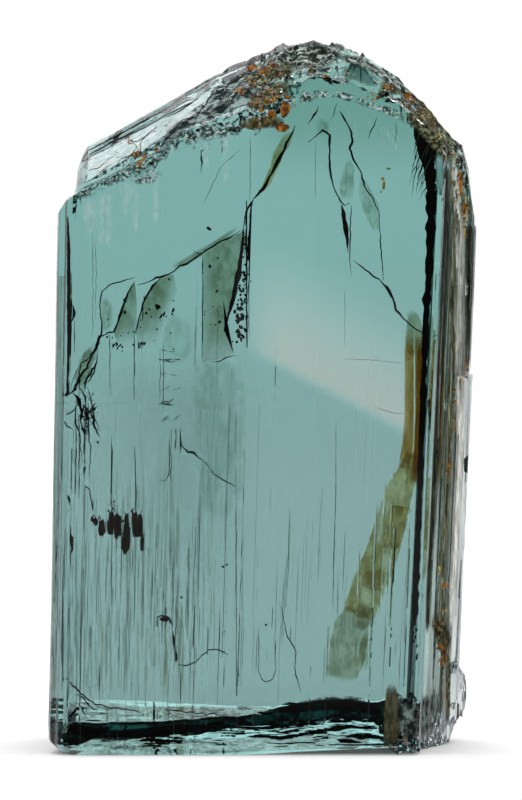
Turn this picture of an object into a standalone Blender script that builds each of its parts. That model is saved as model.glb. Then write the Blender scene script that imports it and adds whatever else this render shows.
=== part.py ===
"""A loose zoisite crystal, standing upright on its broken base.

The crystal is one solid: two flat prisms that grew together face to face, under one chisel-shaped
termination. The front plate is lower and reaches further left; the back plate is taller and forms the
right flank. +Z is up, +X is to the right of the wide front face, and that face looks along -Y.
"""

import math
import random

import bmesh
import bpy
import numpy as np
from mathutils import Matrix, Vector, noise

NAME = "zoisite_crystal"
MM = 0.001

# Driving dimensions, in millimetres. Every outline below is in millimetres too, and x is as at the base.
FRONT_Y = -4.8  # the wide front face
JOIN_Y = -2.4  # where the front plate meets the back plate
RIDGE_Y = 0.6  # the crest of the termination
BACK_Y = 4.8  # the back face
PLATE_LAP = 0.4  # how far the two plates reach into each other
STOCK_LOW, STOCK_HIGH = -1.5, 38.0  # the prisms before the termination and the base are broken off
LEAN = 0.033  # sideways run of the long axis for each unit of height
FLARE = 0.0013  # share by which the width grows over a millimetre of height

# Front plate, anticlockwise from the left end of its front face.
FRONT_PLATE = (
    (-10.1, FRONT_Y),
    (7.66, FRONT_Y),
    (7.86, -4.62),
    (7.95, -4.2),
    (7.95, JOIN_Y + PLATE_LAP),
    (-10.7, JOIN_Y + PLATE_LAP),
    (-10.87, -3.3),
    (-10.76, -4.05),
    (-10.48, -4.28),
    (-10.36, -4.62),
)
FRONT_STEPS = ((-6.9, 0.03), (-1.7, 0.04), (4.6, -0.03))  # x and rise of each growth step, left to right
FRONT_RUN = 0.3  # how wide such a step's riser is

# Back plate, anticlockwise from its front left corner.
BACK_FRONT = ((-10.6, JOIN_Y), (7.98, JOIN_Y))
FLANK = (  # the striated right flank, from front to back
    (8.04, -2.0),
    (8.2, -1.85),
    (8.26, -1.5),
    (8.45, -1.3),
    (8.49, -0.95),
    (8.66, -0.85),
    (8.7, -0.45),
    (8.88, -0.38),
    (8.92, 0.0),
    (9.1, 0.08),
    (9.16, 0.5),
    (9.36, 0.62),
    (9.45, 1.3),
    (9.4, 2.1),
)
BACK_RIGHT = ((9.28, 2.5), (9.0, 3.1), (8.72, 3.6), (8.5, 4.3), (8.2, 4.66))
CLEAR_STRIP = ((8.1, 4.74), (7.7, 4.76))  # a narrow pane parallel to the front face
GROOVE = ((7.5, 4.26), (7.3, BACK_Y))  # the deep groove beside it
BACK_LEFT = ((-10.3, BACK_Y), (-10.45, 4.6), (-10.6, 3.6), (-10.52, 3.3), (-10.68, 1.2), (-10.62, -0.6))
BACK_STEPS = ((5.2, -0.05), (2.3, -0.04), (-2.6, 0.05), (-6.4, -0.05))  # the same, right to left
BACK_RUN = 0.45

# Ribs on the right flank: an outline, and the heights between which the rib stands out.
UPPER_RIB = ((8.9, 0.2), (9.3, -0.25), (9.5, -0.7), (9.66, -0.3), (9.73, 0.5), (9.7, 1.6), (9.4, 2.3))
UPPER_RIB += ((8.9, 2.0),)
LOWER_RIB = ((9.0, 0.7), (9.4, 0.8), (9.8, 0.98), (9.93, 1.5), (9.9, 2.6), (9.7, 2.85), (9.3, 3.0))
LOWER_RIB += ((8.8, 2.6),)
RIBS = (
    ("upper_rib", UPPER_RIB, 19.0, STOCK_HIGH),
    ("lower_rib", LOWER_RIB, STOCK_LOW, 19.05),
)
BOSS = ((9.55, 3.1, 2.7), (1.05, 0.95, 1.5))  # the rounded boss low on the right: middle and radii

# The termination, as heights along x. x here is the true place, with lean and flare.
EDGE_LINE = (  # the front plate's top edge
    (-10.4, 27.2),
    (-9.9, 28.0),
    (-9.26, 28.45),
    (-7.5, 29.3),
    (-5.4, 30.4),
    (-4.2, 31.5),
    (-1.7, 32.4),
    (0.0, 32.95),
    (0.6, 33.6),
    (2.3, 34.3),
    (4.2, 34.05),
    (5.0, 33.6),
    (6.6, 33.1),
    (7.4, 32.5),
    (8.1, 31.8),
    (9.2, 30.3),
)
STEP_LINE = (  # the back plate's edge, above the front plate
    (-10.8, 27.0),
    (-9.5, 28.5),
    (-9.35, 28.75),
    (-5.4, 30.95),
    (-4.2, 32.0),
    (-1.7, 32.95),
    (0.0, 33.6),
    (2.3, 34.6),
    (3.7, 34.75),
    (4.35, 35.05),
    (4.8, 35.05),
    (6.0, 34.15),
    (6.9, 33.5),
    (8.1, 32.3),
    (9.6, 30.5),
    (10.8, 26.8),
)
RIDGE_LINE = (
    (-10.8, 27.2),
    (-9.52, 28.4),
    (-9.4, 29.75),
    (-9.2, 30.3),
    (-8.9, 30.8),
    (-7.8, 31.3),
    (-6.36, 32.15),
    (-5.15, 32.8),
    (-3.8, 33.6),
    (-2.54, 34.3),
    (-1.26, 35.05),
    (0.0, 35.5),
    (1.1, 35.95),
    (1.6, 36.1),
    (2.7, 36.15),
    (3.05, 35.96),
    (3.46, 36.1),
    (4.2, 35.76),
    (5.6, 35.15),
    (6.4, 34.65),
    (7.0, 34.25),
    (7.4, 33.7),
    (8.2, 33.05),
    (8.6, 32.6),
    (9.0, 31.95),
    (9.6, 31.25),
    (10.1, 30.95),
    (10.4, 30.5),
    (10.7, 28.4),
    (10.85, 26.7),
)
REAR_LINE = (  # the top edge of the back face
    (-10.8, 27.0),
    (-9.2, 28.1),
    (-8.5, 28.6),
    (-6.0, 29.5),
    (-5.0, 30.0),
    (-4.4, 30.8),
    (-3.4, 31.1),
    (-1.4, 31.5),
    (0.1, 31.9),
    (0.95, 32.4),
    (1.4, 33.8),
    (2.4, 34.9),
    (4.5, 34.9),
    (5.6, 34.3),
    (6.6, 33.6),
    (7.4, 32.9),
    (7.7, 31.7),
    (8.2, 30.4),
    (8.7, 28.8),
    (9.3, 28.6),
    (10.8, 26.2),
)
LIP_RISE = 0.14  # the front plate's own top climbs this much towards the back plate
# Ledges on the roof between the step and the ridge: share of the depth, share of the climb.
LEDGES = (
    (0.0, 0.0),
    (0.3, 0.28),
    (0.62, 0.62),
    (0.635, 0.67),
    (0.84, 0.84),
    (0.85, 0.88),
    (1.0, 1.0),
)
REAR_LEDGES = (
    (0.15, 0.05),
    (0.18, 0.19),
    (0.33, 0.24),
    (0.36, 0.41),
    (0.5, 0.46),
    (0.53, 0.6),
    (0.67, 0.65),
    (0.7, 0.79),
    (0.85, 0.84),
    (0.88, 0.94),
    (1.0, 1.0),
)

# The broken, glittering crest: how rough the termination is along x, from 0 to 1.
ROUGH_LINE = ((-5.5, 0.0), (-3.0, 0.3), (0.0, 1.0), (5.0, 1.0), (7.0, 0.6), (10.8, 0.45))
ROUGH_HEIGHT, SMOOTH_HEIGHT = 0.34, 0.006  # how far roughness moves the roof up and down
RIDGE_CALM = 0.3  # share of the roughness that is left on the ridge itself
BLOCK = 0.6  # size of the broken blocks

# The hollow base. A gentle slope climbs from the front rim to the foot of a riser; behind the riser a
# shelf climbs on to the back wall of the hollow. Heights along x.
FOOT_LINE = (
    (-10.4, 0.0),
    (-9.8, 0.6),
    (-8.0, 0.82),
    (-5.7, 0.86),
    (-3.2, 0.98),
    (-0.7, 1.25),
    (1.8, 1.3),
    (4.4, 1.4),
    (5.8, 1.3),
    (6.6, 0.75),
    (8.3, 0.55),
    (9.0, 0.0),
)
RISER_LINE = (
    (-10.4, 0.0),
    (-9.8, 1.35),
    (-8.0, 1.4),
    (-5.7, 1.44),
    (-3.2, 1.52),
    (-0.7, 1.75),
    (0.6, 1.9),
    (1.4, 2.4),
    (4.4, 2.7),
    (5.8, 2.45),
    (6.6, 2.7),
    (8.3, 2.8),
    (9.0, 0.0),
)
SHELF_LINE = (
    (-10.4, 0.0),
    (-9.8, 2.3),
    (-8.0, 2.4),
    (-5.7, 2.3),
    (-3.2, 2.15),
    (-0.7, 2.0),
    (0.6, 2.05),
    (1.4, 2.5),
    (4.4, 2.8),
    (5.8, 2.55),
    (6.6, 2.8),
    (8.3, 2.9),
    (9.0, 0.0),
)
# y where the riser stands.
RISER_Y_LINE = ((-9.8, -0.9), (-5.7, -0.7), (-3.2, 0.1), (-0.7, 1.2), (1.4, 1.7), (5.8, 1.75), (8.3, 0.7))
RISER_RUN = 1.1  # the riser's run for each unit of rise
HOLLOW_FRONT, HOLLOW_BACK, HOLLOW_TOP = -4.45, 3.9, 3.35  # y of its two rims and of its highest line
SIDE_LIFT = ((-10.9, 0.8), (-10.5, 0.45), (-10, 0.1), (-9.6, 0), (9.2, 0), (9.6, 0.3), (9.8, 0.9), (10, 1.9))
FRONT_LIFT = ((-10.4, 0.45), (-9.6, 0.3), (-8.0, 0.05), (6.0, 0.05), (8.0, 0.2))
RIM_DEPTH = 0.35  # the front chip fades out over this depth
FRONT_RISE = ((-1.0, 0.0), (2.0, 0.17), (6.0, 0.34), (8.0, 0.5))  # the right front rim hangs free
RISE_DEPTH = 3.0  # how far back the rise reaches
RIPPLE = 0.07  # height of the shell-like ripples in the hollow
BASE_ROWS = (-4.45, -4.2, -3.5, -2.8, -2.2, -1.7, -1.3, -0.95, -0.6, -0.3, -0.05, 0.2, 0.45, 0.7, 1.05)
BASE_ROWS += (1.35, 1.6, 1.9, 2.2, 2.5, 2.9, 3.35, 3.6, 3.9, 4.3)

# Small chips along the edges: x, y, z, radius.
CHIPS = (
    (-10.55, -4.5, 25.2, 0.32),
    (-10.95, -3.2, 19.6, 0.3),
    (8.95, -4.75, 24.6, 0.3),
    (8.75, -4.85, 20.9, 0.26),
    (8.2, -4.9, 8.4, 0.3),
    (10.6, 1.2, 14.4, 0.36),
    (10.4, 2.7, 10.6, 0.4),
    (10.8, 0.3, 23.4, 0.32),
    (-10.15, 4.9, 12.4, 0.4),
    (-9.9, 4.85, 22.2, 0.35),
    (8.8, 4.6, 17.4, 0.4),
)


def along(line, at):
    """The height of a line of (place, height) points at a place."""
    return float(np.interp(at, [p[0] for p in line], [p[1] for p in line]))


def leaned(x, z):
    """Where a point of an outline at the base has moved to at height z."""
    return x * (1 + FLARE * z) + LEAN * z


def clear_scene():
    for obj in list(bpy.data.objects):
        bpy.data.objects.remove(obj)


def collection_for(name):
    made = bpy.data.collections.new(name)
    bpy.context.scene.collection.children.link(made)
    return made


def zoisite():
    """Clear blue-green crystal."""
    made = bpy.data.materials.new("zoisite")
    made.use_nodes = True
    shader = made.node_tree.nodes["Principled BSDF"]
    shader.inputs["Base Color"].default_value = (0.24, 0.45, 0.41, 1)
    shader.inputs["Metallic"].default_value = 0.0
    shader.inputs["Roughness"].default_value = 0.06
    shader.inputs["IOR"].default_value = 1.695
    shader.inputs["Transmission Weight"].default_value = 0.9
    return made


def object_from(bm, name, collection):
    """An object in metres from a bmesh in millimetres."""
    bmesh.ops.recalc_face_normals(bm, faces=bm.faces)
    bm.transform(Matrix.Scale(MM, 4))
    mesh = bpy.data.meshes.new(name)
    bm.to_mesh(mesh)
    bm.free()
    made = bpy.data.objects.new(name, mesh)
    collection.objects.link(made)
    return made


def stepped(steps, level, run):
    """The points of a flat face with growth steps, walked in the order of the steps."""
    points = []
    for x, rise in steps:
        points.append((x, level))
        level += rise
        points.append((x + run, level))
    return points


def front_outline():
    """The front plate's outline with the shallow growth steps of its front face."""
    return [FRONT_PLATE[0], *stepped(FRONT_STEPS, FRONT_Y, FRONT_RUN), *FRONT_PLATE[1:]]


def back_outline():
    """The back plate's outline: front, flank, clear strip, deep groove and the stepped back face."""
    right = [*BACK_FRONT, *FLANK, *BACK_RIGHT, *CLEAR_STRIP, *GROOVE]
    return right + stepped(BACK_STEPS, BACK_Y, -BACK_RUN) + list(BACK_LEFT)


def prism(name, outline, low, high, collection):
    """An upright prism over an outline, with the crystal's lean and flare."""
    bm = bmesh.new()
    rings = [
        [bm.verts.new((leaned(x, z), y, z)) for x, y in outline]
        for z in (low, high)
    ]
    bm.faces.new(reversed(rings[0]))
    bm.faces.new(rings[1])
    count = len(outline)
    for i in range(count):
        j = (i + 1) % count
        bm.faces.new((rings[0][i], rings[0][j], rings[1][j], rings[1][i]))
    return object_from(bm, name, collection)


def relief_block(name, xs, ys, surface, lid, collection):
    """A solid between a surface given over a grid and a flat lid above or below it."""
    bm = bmesh.new()
    top = [[bm.verts.new(surface(x, y)) for y in ys] for x in xs]
    flat = [[bm.verts.new((v.co.x, v.co.y, lid)) for v in row] for row in top]
    columns, rows = len(xs), len(ys)
    for i in range(columns - 1):
        for j in range(rows - 1):
            bm.faces.new((top[i][j], top[i + 1][j], top[i + 1][j + 1], top[i][j + 1]))
            bm.faces.new((flat[i][j], flat[i][j + 1], flat[i + 1][j + 1], flat[i + 1][j]))
    rim = [(i, 0) for i in range(columns)]
    rim += [(columns - 1, j) for j in range(1, rows)]
    rim += [(i, rows - 1) for i in range(columns - 2, -1, -1)]
    rim += [(0, j) for j in range(rows - 2, 0, -1)]
    for (a, b), (c, d) in zip(rim, rim[1:] + rim[:1]):
        bm.faces.new((top[a][b], flat[a][b], flat[c][d], top[c][d]))
    bmesh.ops.triangulate(bm, faces=bm.faces)
    return object_from(bm, name, collection)


def boss(collection):
    """The rounded boss low on the right."""
    middle, radii = BOSS
    bm = bmesh.new()
    place = Matrix.Translation(middle) @ Matrix.Diagonal((*radii, 1))
    bmesh.ops.create_icosphere(bm, subdivisions=2, radius=1.0, matrix=place)
    return object_from(bm, "base_boss", collection)


def roof_rows():
    """The roof in rows: depth, the line each starts from, the line it climbs to, share between them."""
    rows = [(FRONT_Y - 0.7, "edge", "lip", -0.2), (FRONT_Y, "edge", "lip", 0.0)]
    rows += [(FRONT_Y + share * (JOIN_Y - FRONT_Y), "edge", "lip", share) for share in (0.3, 0.62, 0.97)]
    for share, climb in LEDGES:
        rows.append((JOIN_Y + share * (RIDGE_Y - JOIN_Y), "step", "ridge", climb))
    for share, fall in REAR_LEDGES:
        rows.append((RIDGE_Y + share * (BACK_Y - RIDGE_Y), "ridge", "rear", fall))
    rows.append((BACK_Y + 0.7, "ridge", "rear", 1.2))
    return rows


def broken(x, y, seed):
    """Relief of a broken surface, from -1 to 1: flat blocks at several heights, with finer grain on them."""
    place = Vector((x / BLOCK, y / BLOCK, seed))
    blocks = 2 * noise.cell(place) - 1
    grain = noise.noise(place * 2.3)
    return 0.6 * blocks + 0.6 * grain


def termination(collection):
    """The stock above the roof: front plate's top, back plate's step, ledges, ridge and rear slope."""
    rows = {round(row[0], 4): row for row in roof_rows()}

    def heights(x):
        edge, ridge = along(EDGE_LINE, x), along(RIDGE_LINE, x)
        step = min(along(STEP_LINE, x), ridge - 0.1)
        rear = min(along(REAR_LINE, x), ridge - 0.1)
        return {"edge": edge, "lip": edge + LIP_RISE, "step": step, "ridge": ridge, "rear": rear}

    def surface(x, y):
        _, start, end, share = rows[round(y, 4)]
        at = heights(x)
        z = at[start] + share * (at[end] - at[start])
        rough = along(ROUGH_LINE, x)
        wander = noise.noise(Vector((x * 0.5, y * 0.8, 3.1)))
        calm = 1 - (1 - RIDGE_CALM) * max(0.0, 1 - abs(y - RIDGE_Y) / 0.7)
        if start == "edge":
            z += (0.02 + 0.14 * rough) * broken(x, y, 2.2)
        else:
            z += calm * (SMOOTH_HEIGHT + ROUGH_HEIGHT * rough) * broken(x, y, 7.7)
        sway = rough * 0.08 * noise.noise(Vector((x * 2, y * 2, 9.0)))
        return (x + sway, y + (0.04 + 0.2 * rough) * wander, z)

    xs = [-11.6, -10.9, -10.4, -9.9, -9.53, -9.4, -9.2, -8.9] + list(np.linspace(-8.4, -2.4, 13))
    xs += list(np.linspace(-2.05, 8.2, 34))
    xs += list(np.linspace(8.6, 10.85, 8)) + [11.6]
    return relief_block("above_roof", xs, sorted(rows), surface, STOCK_HIGH + 2, collection)


def base_height(x, y):
    """Height of the broken base: zero on the front and back rims, hollow between them."""
    foot, top, shelf = along(FOOT_LINE, x), along(RISER_LINE, x), along(SHELF_LINE, x)
    stand = along(RISER_Y_LINE, x) + 0.3 * noise.noise(Vector((x * 0.6, 0.0, 4.4)))
    half = RISER_RUN * (top - foot) / 2
    profile = (
        (HOLLOW_FRONT, 0.0),
        (stand - half, foot),
        (stand + half, top),
        (HOLLOW_TOP, shelf),
        (HOLLOW_BACK, 0.0),
    )
    hollow = along(profile, y)
    ripple = noise.noise(Vector((x * 0.4, y * 1.6, 5.5))) + 0.6 * noise.noise(Vector((x * 1.1, y * 2.9, 8.5)))
    lift = along(SIDE_LIFT, x) + along(FRONT_LIFT, x) * max(0.0, 1 - (y - FRONT_Y) / RIM_DEPTH)
    lift += along(FRONT_RISE, x) * max(0.0, 1 - (y - FRONT_Y) / RISE_DEPTH)
    return lift + max(0.0, hollow + RIPPLE * ripple * min(1.0, 3 * hollow))


def base_break(collection):
    """The stock below the broken base."""
    xs = [-11.6] + list(np.linspace(-10.9, 9.1, 45)) + [9.6, 9.9, 10.2, 11.2]
    ys = [FRONT_Y - 0.8, FRONT_Y, *BASE_ROWS, BACK_Y, BACK_Y + 0.8]

    def surface(x, y):
        return (x, y, base_height(x, y))

    return relief_block("below_base", xs, ys, surface, STOCK_LOW - 1.5, collection)


def chips(collection):
    """Small conchoidal chips, as rough balls that bite into the edges."""
    random.seed(5)
    bm = bmesh.new()
    for x, y, z, radius in CHIPS:
        turn = Matrix.Rotation(random.uniform(0, math.tau), 4, Vector((1, 0.4, 0.7)).normalized())
        size = Matrix.Diagonal((radius, radius * 0.9, radius * 1.7, 1))
        place = Matrix.Translation((x, y, z)) @ size @ turn
        bmesh.ops.create_icosphere(bm, subdivisions=1, radius=1.0, matrix=place)
    return object_from(bm, "edge_chips", collection)


def boolean(obj, other, operation):
    modifier = obj.modifiers.new(f"{operation.lower()} {other.name}", "BOOLEAN")
    modifier.operation = operation
    modifier.solver = "EXACT"
    modifier.object = other
    other.hide_render = True
    other.display_type = "WIRE"


def centred(obj, collection):
    """The evaluated object as a plain mesh whose box is centred over the origin."""
    bpy.context.view_layer.update()
    graph = bpy.context.evaluated_depsgraph_get()
    mesh = bpy.data.meshes.new_from_object(obj.evaluated_get(graph))
    corners = np.array([v.co for v in mesh.vertices])
    middle = (corners.min(axis=0) + corners.max(axis=0)) / 2
    mesh.transform(Matrix.Translation((-middle[0], -middle[1], 0)))
    mesh.shade_flat()
    crystal = bpy.data.objects.new(NAME, mesh)
    collection.objects.link(crystal)
    return crystal


def main():
    clear_scene()
    crystals = collection_for("Zoisite crystal")
    cutters = collection_for("Stock and cutters")
    body = prism("back_plate", back_outline(), STOCK_LOW, STOCK_HIGH, cutters)
    front = prism("front_plate", front_outline(), STOCK_LOW, STOCK_HIGH, cutters)
    for grown in (front, *(prism(*rib, cutters) for rib in RIBS), boss(cutters)):
        boolean(body, grown, "UNION")
    for gone in (termination(cutters), base_break(cutters), chips(cutters)):
        boolean(body, gone, "DIFFERENCE")
    body.hide_render = True
    crystal = centred(body, crystals)
    crystal.data.materials.append(zoisite())


main()
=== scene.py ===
"""Looks of a loose zoisite crystal: clear blue-green body, striations, fractures, veils and iron stains.

All sizes are in millimetres and are turned into metres only when a mesh is written.
"""

import bisect
import math
import random

import bmesh
import bpy
from mathutils import Matrix, Vector, noise
from mathutils.bvhtree import BVHTree


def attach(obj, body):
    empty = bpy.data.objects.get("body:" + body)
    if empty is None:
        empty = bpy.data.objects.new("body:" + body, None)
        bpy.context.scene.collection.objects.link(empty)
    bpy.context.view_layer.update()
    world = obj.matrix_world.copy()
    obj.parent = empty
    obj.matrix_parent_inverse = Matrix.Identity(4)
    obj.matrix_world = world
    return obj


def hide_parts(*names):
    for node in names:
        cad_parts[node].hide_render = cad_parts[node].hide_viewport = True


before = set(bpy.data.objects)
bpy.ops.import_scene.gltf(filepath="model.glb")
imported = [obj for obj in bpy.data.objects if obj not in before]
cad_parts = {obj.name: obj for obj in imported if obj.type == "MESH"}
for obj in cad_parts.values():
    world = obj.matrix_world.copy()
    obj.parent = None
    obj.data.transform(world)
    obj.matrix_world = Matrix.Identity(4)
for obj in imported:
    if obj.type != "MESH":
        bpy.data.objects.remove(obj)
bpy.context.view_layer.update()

MM = 0.001
NODE = "zoisite_crystal"
LEAN, FLARE = 0.033, 0.0013  # sideways run of the long axis and widening, for each millimetre of height
FRONT_Y, JOIN_Y, RIDGE_Y = -4.8, -2.4, 0.6
CRYSTAL_IOR = 1.695
BODY_COLOUR, BODY_DENSITY = (0.081, 0.474, 0.446, 1), 172.0  # what the body's path inside absorbs

# How rough the broken termination is along x, from 0 to 1.
ROUGH_LINE = ((-5.6, 0.0), (-4.6, 0.35), (-3.0, 0.5), (0.0, 1.0), (5.0, 1.0), (7.0, 0.8), (10.8, 0.7))
# The upper limit of the clean front face.
EDGE_LINE = (
    (-10.4, 27.2), (-9.3, 28.3), (-5.4, 30.4), (-4.2, 31.5), (0.0, 32.9),
    (2.3, 34.2), (5.0, 33.6), (7.4, 32.5), (9.2, 30.3),
)


def along(line, at):
    """The height of a line of (place, height) points at a place."""
    if at <= line[0][0]:
        return line[0][1]
    for (x0, z0), (x1, z1) in zip(line, line[1:]):
        if at <= x1:
            return z0 + (z1 - z0) * (at - x0) / (x1 - x0)
    return line[-1][1]


def clamped(value):
    return min(1.0, max(0.0, value))


def ripple(x, y, z):
    """Smooth noise at a place, about -1 to 1."""
    return noise.noise(Vector((x, y, z)))


def leaned(x, z):
    """True x at height z of what stands at x at the base."""
    return x * (1 + FLARE * z) + LEAN * z


def upright(x, z):
    """The other way round: where at the base a point at height z stands."""
    return (x - LEAN * z) / (1 + FLARE * z)


# ---------------------------------------------------------------- node helpers


def new_material(name):
    made = bpy.data.materials.new(name)
    made.use_nodes = True
    made.node_tree.nodes.clear()
    return made, made.node_tree


def node(tree, kind, inputs=None, **settings):
    """A node with its settings, and its inputs as values or as sockets to link."""
    made = tree.nodes.new(kind)
    for name, value in settings.items():
        setattr(made, name, value)
    for name, value in (inputs or {}).items():
        socket = made.inputs[name]
        if isinstance(value, bpy.types.NodeSocket):
            tree.links.new(value, socket)
        else:
            socket.default_value = value
    return made


def scaled_place(tree, scale):
    """Object coordinates in millimetres, times a scale for each axis."""
    place = node(tree, "ShaderNodeTexCoord").outputs["Object"]
    return node(tree, "ShaderNodeMapping", {"Vector": place, "Scale": [s / MM for s in scale]}).outputs[0]


def noise_value(tree, scale, detail=3.0, roughness=0.6):
    inputs = {"Vector": scaled_place(tree, scale), "Scale": 1.0, "Detail": detail, "Roughness": roughness}
    return node(tree, "ShaderNodeTexNoise", inputs).outputs[0]


def ramp(tree, value, low, high, start=0.0, end=1.0):
    """start below low, end above high, and a soft step between them."""
    inputs = {"Value": value, "From Min": low, "From Max": high, "To Min": start, "To Max": end}
    return node(tree, "ShaderNodeMapRange", inputs, clamp=True, interpolation_type="SMOOTHSTEP").outputs[0]


def maths(tree, operation, a, b=0.0):
    return node(tree, "ShaderNodeMath", {0: a, 1: b}, operation=operation).outputs[0]


def times(tree, a, b):
    return maths(tree, "MULTIPLY", a, b)


def mesh_value(tree, name):
    """A number stored at the mesh's points."""
    return node(tree, "ShaderNodeAttribute", attribute_name=name).outputs["Fac"]


def blend(tree, factor, a, b):
    """Colour a where the factor is 0 and b where it is 1; each is a colour or a socket."""
    a, b = (c if isinstance(c, bpy.types.NodeSocket) else (*c, 1) for c in (a, b))
    return node(tree, "ShaderNodeMix", {0: factor, 6: a, 7: b}, data_type="RGBA").outputs[2]


def principled(tree, inputs, bump=None):
    surface = node(tree, "ShaderNodeBsdfPrincipled", inputs)
    if bump is not None:
        height, strength, distance = bump
        inputs = {"Height": height, "Strength": strength, "Distance": distance * MM}
        normal = node(tree, "ShaderNodeBump", inputs).outputs[0]
        tree.links.new(normal, surface.inputs["Normal"])
    out = node(tree, "ShaderNodeOutputMaterial")
    tree.links.new(surface.outputs[0], out.inputs["Surface"])
    return out


# ---------------------------------------------------------------- materials


def zoisite_material():
    """Clear body: refraction at the surface, and a blue-green that deepens with the path inside.

    Painted shade darkens and greys the lower two thirds; cloudy patches grey it more, most of all in the
    middle of the left half; under the crest the body is darkest.
    """
    made, tree = new_material("zoisite_body")
    place = node(tree, "ShaderNodeTexCoord").outputs["Object"]
    x, _, z = node(tree, "ShaderNodeSeparateXYZ", {0: place}).outputs
    left = times(tree, ramp(tree, x, 0.5 * MM, -3.0 * MM), ramp(tree, x, -9.5 * MM, -6.0 * MM))
    middle = times(tree, ramp(tree, z, 20.5 * MM, 17.5 * MM), ramp(tree, z, 6.0 * MM, 13.0 * MM))
    cloud = noise_value(tree, (0.35, 0.35, 0.16), 4.0)
    level = maths(tree, "ADD", z, times(tree, maths(tree, "SUBTRACT", cloud, 0.5), 9.0 * MM))
    haze = times(tree, times(tree, left, middle), ramp(tree, cloud, 0.35, 0.6, 0.4, 1.0))
    top = times(tree, ramp(tree, x, -1.5 * MM, 1.5 * MM), ramp(tree, z, 28.6 * MM, 32.6 * MM))
    upper = blend(tree, top, (0.82, 0.885, 0.875), (0.56, 0.69, 0.63))
    # painted shade: the tint darkens and greys the lower two thirds of the body
    tint = blend(tree, ramp(tree, level, 28.0 * MM, 13.0 * MM), upper, (0.86, 0.785, 0.8))
    out = principled(tree, {
        "Base Color": blend(tree, haze, tint, (0.69, 0.66, 0.66)),
        "Roughness": times(tree, mesh_value(tree, "frost"), 0.5),
        "IOR": CRYSTAL_IOR,
        "Transmission Weight": 1.0,
    })
    absorption = node(tree, "ShaderNodeVolumeAbsorption", {"Color": BODY_COLOUR, "Density": BODY_DENSITY})
    tree.links.new(absorption.outputs[0], out.inputs["Volume"])
    return made


def stain_and_painted_shade_material(name, thin, thick, scale, cover, least=0.0, edge=(0.1, 0.6), ragged=0.5):
    """A film inside the glass, for stains and for painted shade: what crosses it takes on the film's colour.

    The film shows where noise of this scale is above cover, elsewhere by its least share, and its
    edge follows the mesh's fade with a ragged line.
    """
    made, tree = new_material(name)
    patch = noise_value(tree, scale, 5.0, 0.65)
    tear = noise_value(tree, [s * 2.3 for s in scale], 3.0)
    shift = times(tree, maths(tree, "SUBTRACT", tear, 0.5), ragged)
    torn = maths(tree, "ADD", mesh_value(tree, "fade"), shift)
    mask = times(tree, ramp(tree, torn, *edge), ramp(tree, patch, *cover, least, 1.0))
    colour = blend(tree, ramp(tree, tear, 0.35, 0.65), thick, thin)
    principled(tree, {
        "Base Color": blend(tree, mask, (1, 1, 1), colour),
        "Roughness": 0.0,
        "IOR": 1.0,
        "Transmission Weight": 1.0,
    })
    return made


def crust_and_painted_light_material(name, dark, light, scale, cover, strength, split=(0.46, 0.58), finer=3.0):
    """A thin matt skin, for deposits and for painted light and shade: it shows where noise of this scale
    is above cover, by at most strength.

    Its grain is finer than that noise, and turns from dark to light across split.
    """
    made, tree = new_material(name)
    streak = noise_value(tree, scale, 5.0, 0.65)
    grain = noise_value(tree, [s * finer for s in scale], 2.0)
    alpha = times(tree, ramp(tree, streak, *cover, 0.0, strength), mesh_value(tree, "fade"))
    principled(tree, {
        "Base Color": blend(tree, ramp(tree, grain, *split), dark, light),
        "Roughness": 0.5,
        "Specular IOR Level": 0.0,
        "Alpha": alpha,
    })
    return made


def solid_material(name, dark, light, scale, roughness, gloss=0.0):
    """Grains, crusts, dark cracks and the black band's painted shade: two colours in patches, and a rough
    surface.
    """
    made, tree = new_material(name)
    patch = noise_value(tree, scale, 4.0)
    grain = noise_value(tree, [s * 6 for s in scale], 2.0)
    inputs = {
        "Base Color": blend(tree, ramp(tree, patch, 0.38, 0.62), dark, light),
        "Roughness": ramp(tree, grain, 0.3, 0.7, roughness * 0.7, min(1.0, roughness * 1.2)),
        "Specular IOR Level": gloss,
    }
    principled(tree, inputs, bump=(grain, 0.6, 0.02))
    return made


# ---------------------------------------------------------------- mesh helpers


def slice_up(bm, faces, planes):
    """Cut faces along a sorted list of planes; the list is halved each time, so every cut sees few faces."""
    if not planes or not faces:
        return
    middle = len(planes) // 2
    point, normal = planes[middle]
    edges = {e for f in faces for e in f.edges}
    verts = {v for f in faces for v in f.verts}
    geom = [*verts, *edges, *faces]
    cut = bmesh.ops.bisect_plane(bm, geom=geom, dist=1e-5, plane_co=point, plane_no=normal)
    pieces = {g for g in cut["geom"] if isinstance(g, bmesh.types.BMFace)} | {f for f in faces if f.is_valid}
    low, high = [], []
    for face in pieces:
        side = (face.calc_center_median() - point).dot(normal)
        (high if side > 0 else low).append(face)
    slice_up(bm, low, planes[:middle])
    slice_up(bm, high, planes[middle + 1:])


def column_plane(x):
    """The leaning plane of everything that stands at x at the base."""
    return Vector((x, 0, 0)), Vector((1, 0, -(x * FLARE + LEAN))).normalized()


def flat_plane(axis, at):
    point, normal = Vector((0, 0, 0)), Vector((0, 0, 0))
    point[axis], normal[axis] = at, 1.0
    return point, normal


def spaced(low, high, step):
    return [low + step * i for i in range(int((high - low) / step + 1.0001))]


def etched(at):
    """Whether a place lies in the etched rim of the front face."""
    return at.y < 0 and at.x < 7.7 and at.z > along(EDGE_LINE, at.x) - 1.7


def sharpen(bm):
    """Shade flat prism faces as cut, and the rest smooth across shallow edges."""
    for face in bm.faces:
        face.smooth = True
    for edge in bm.edges:
        flat = all(abs(f.normal.y) > 0.8 and not etched(f.calc_center_median()) for f in edge.link_faces)
        edge.smooth = edge.calc_face_angle(0.0) < math.radians(0.2 if flat else 9)


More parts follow.
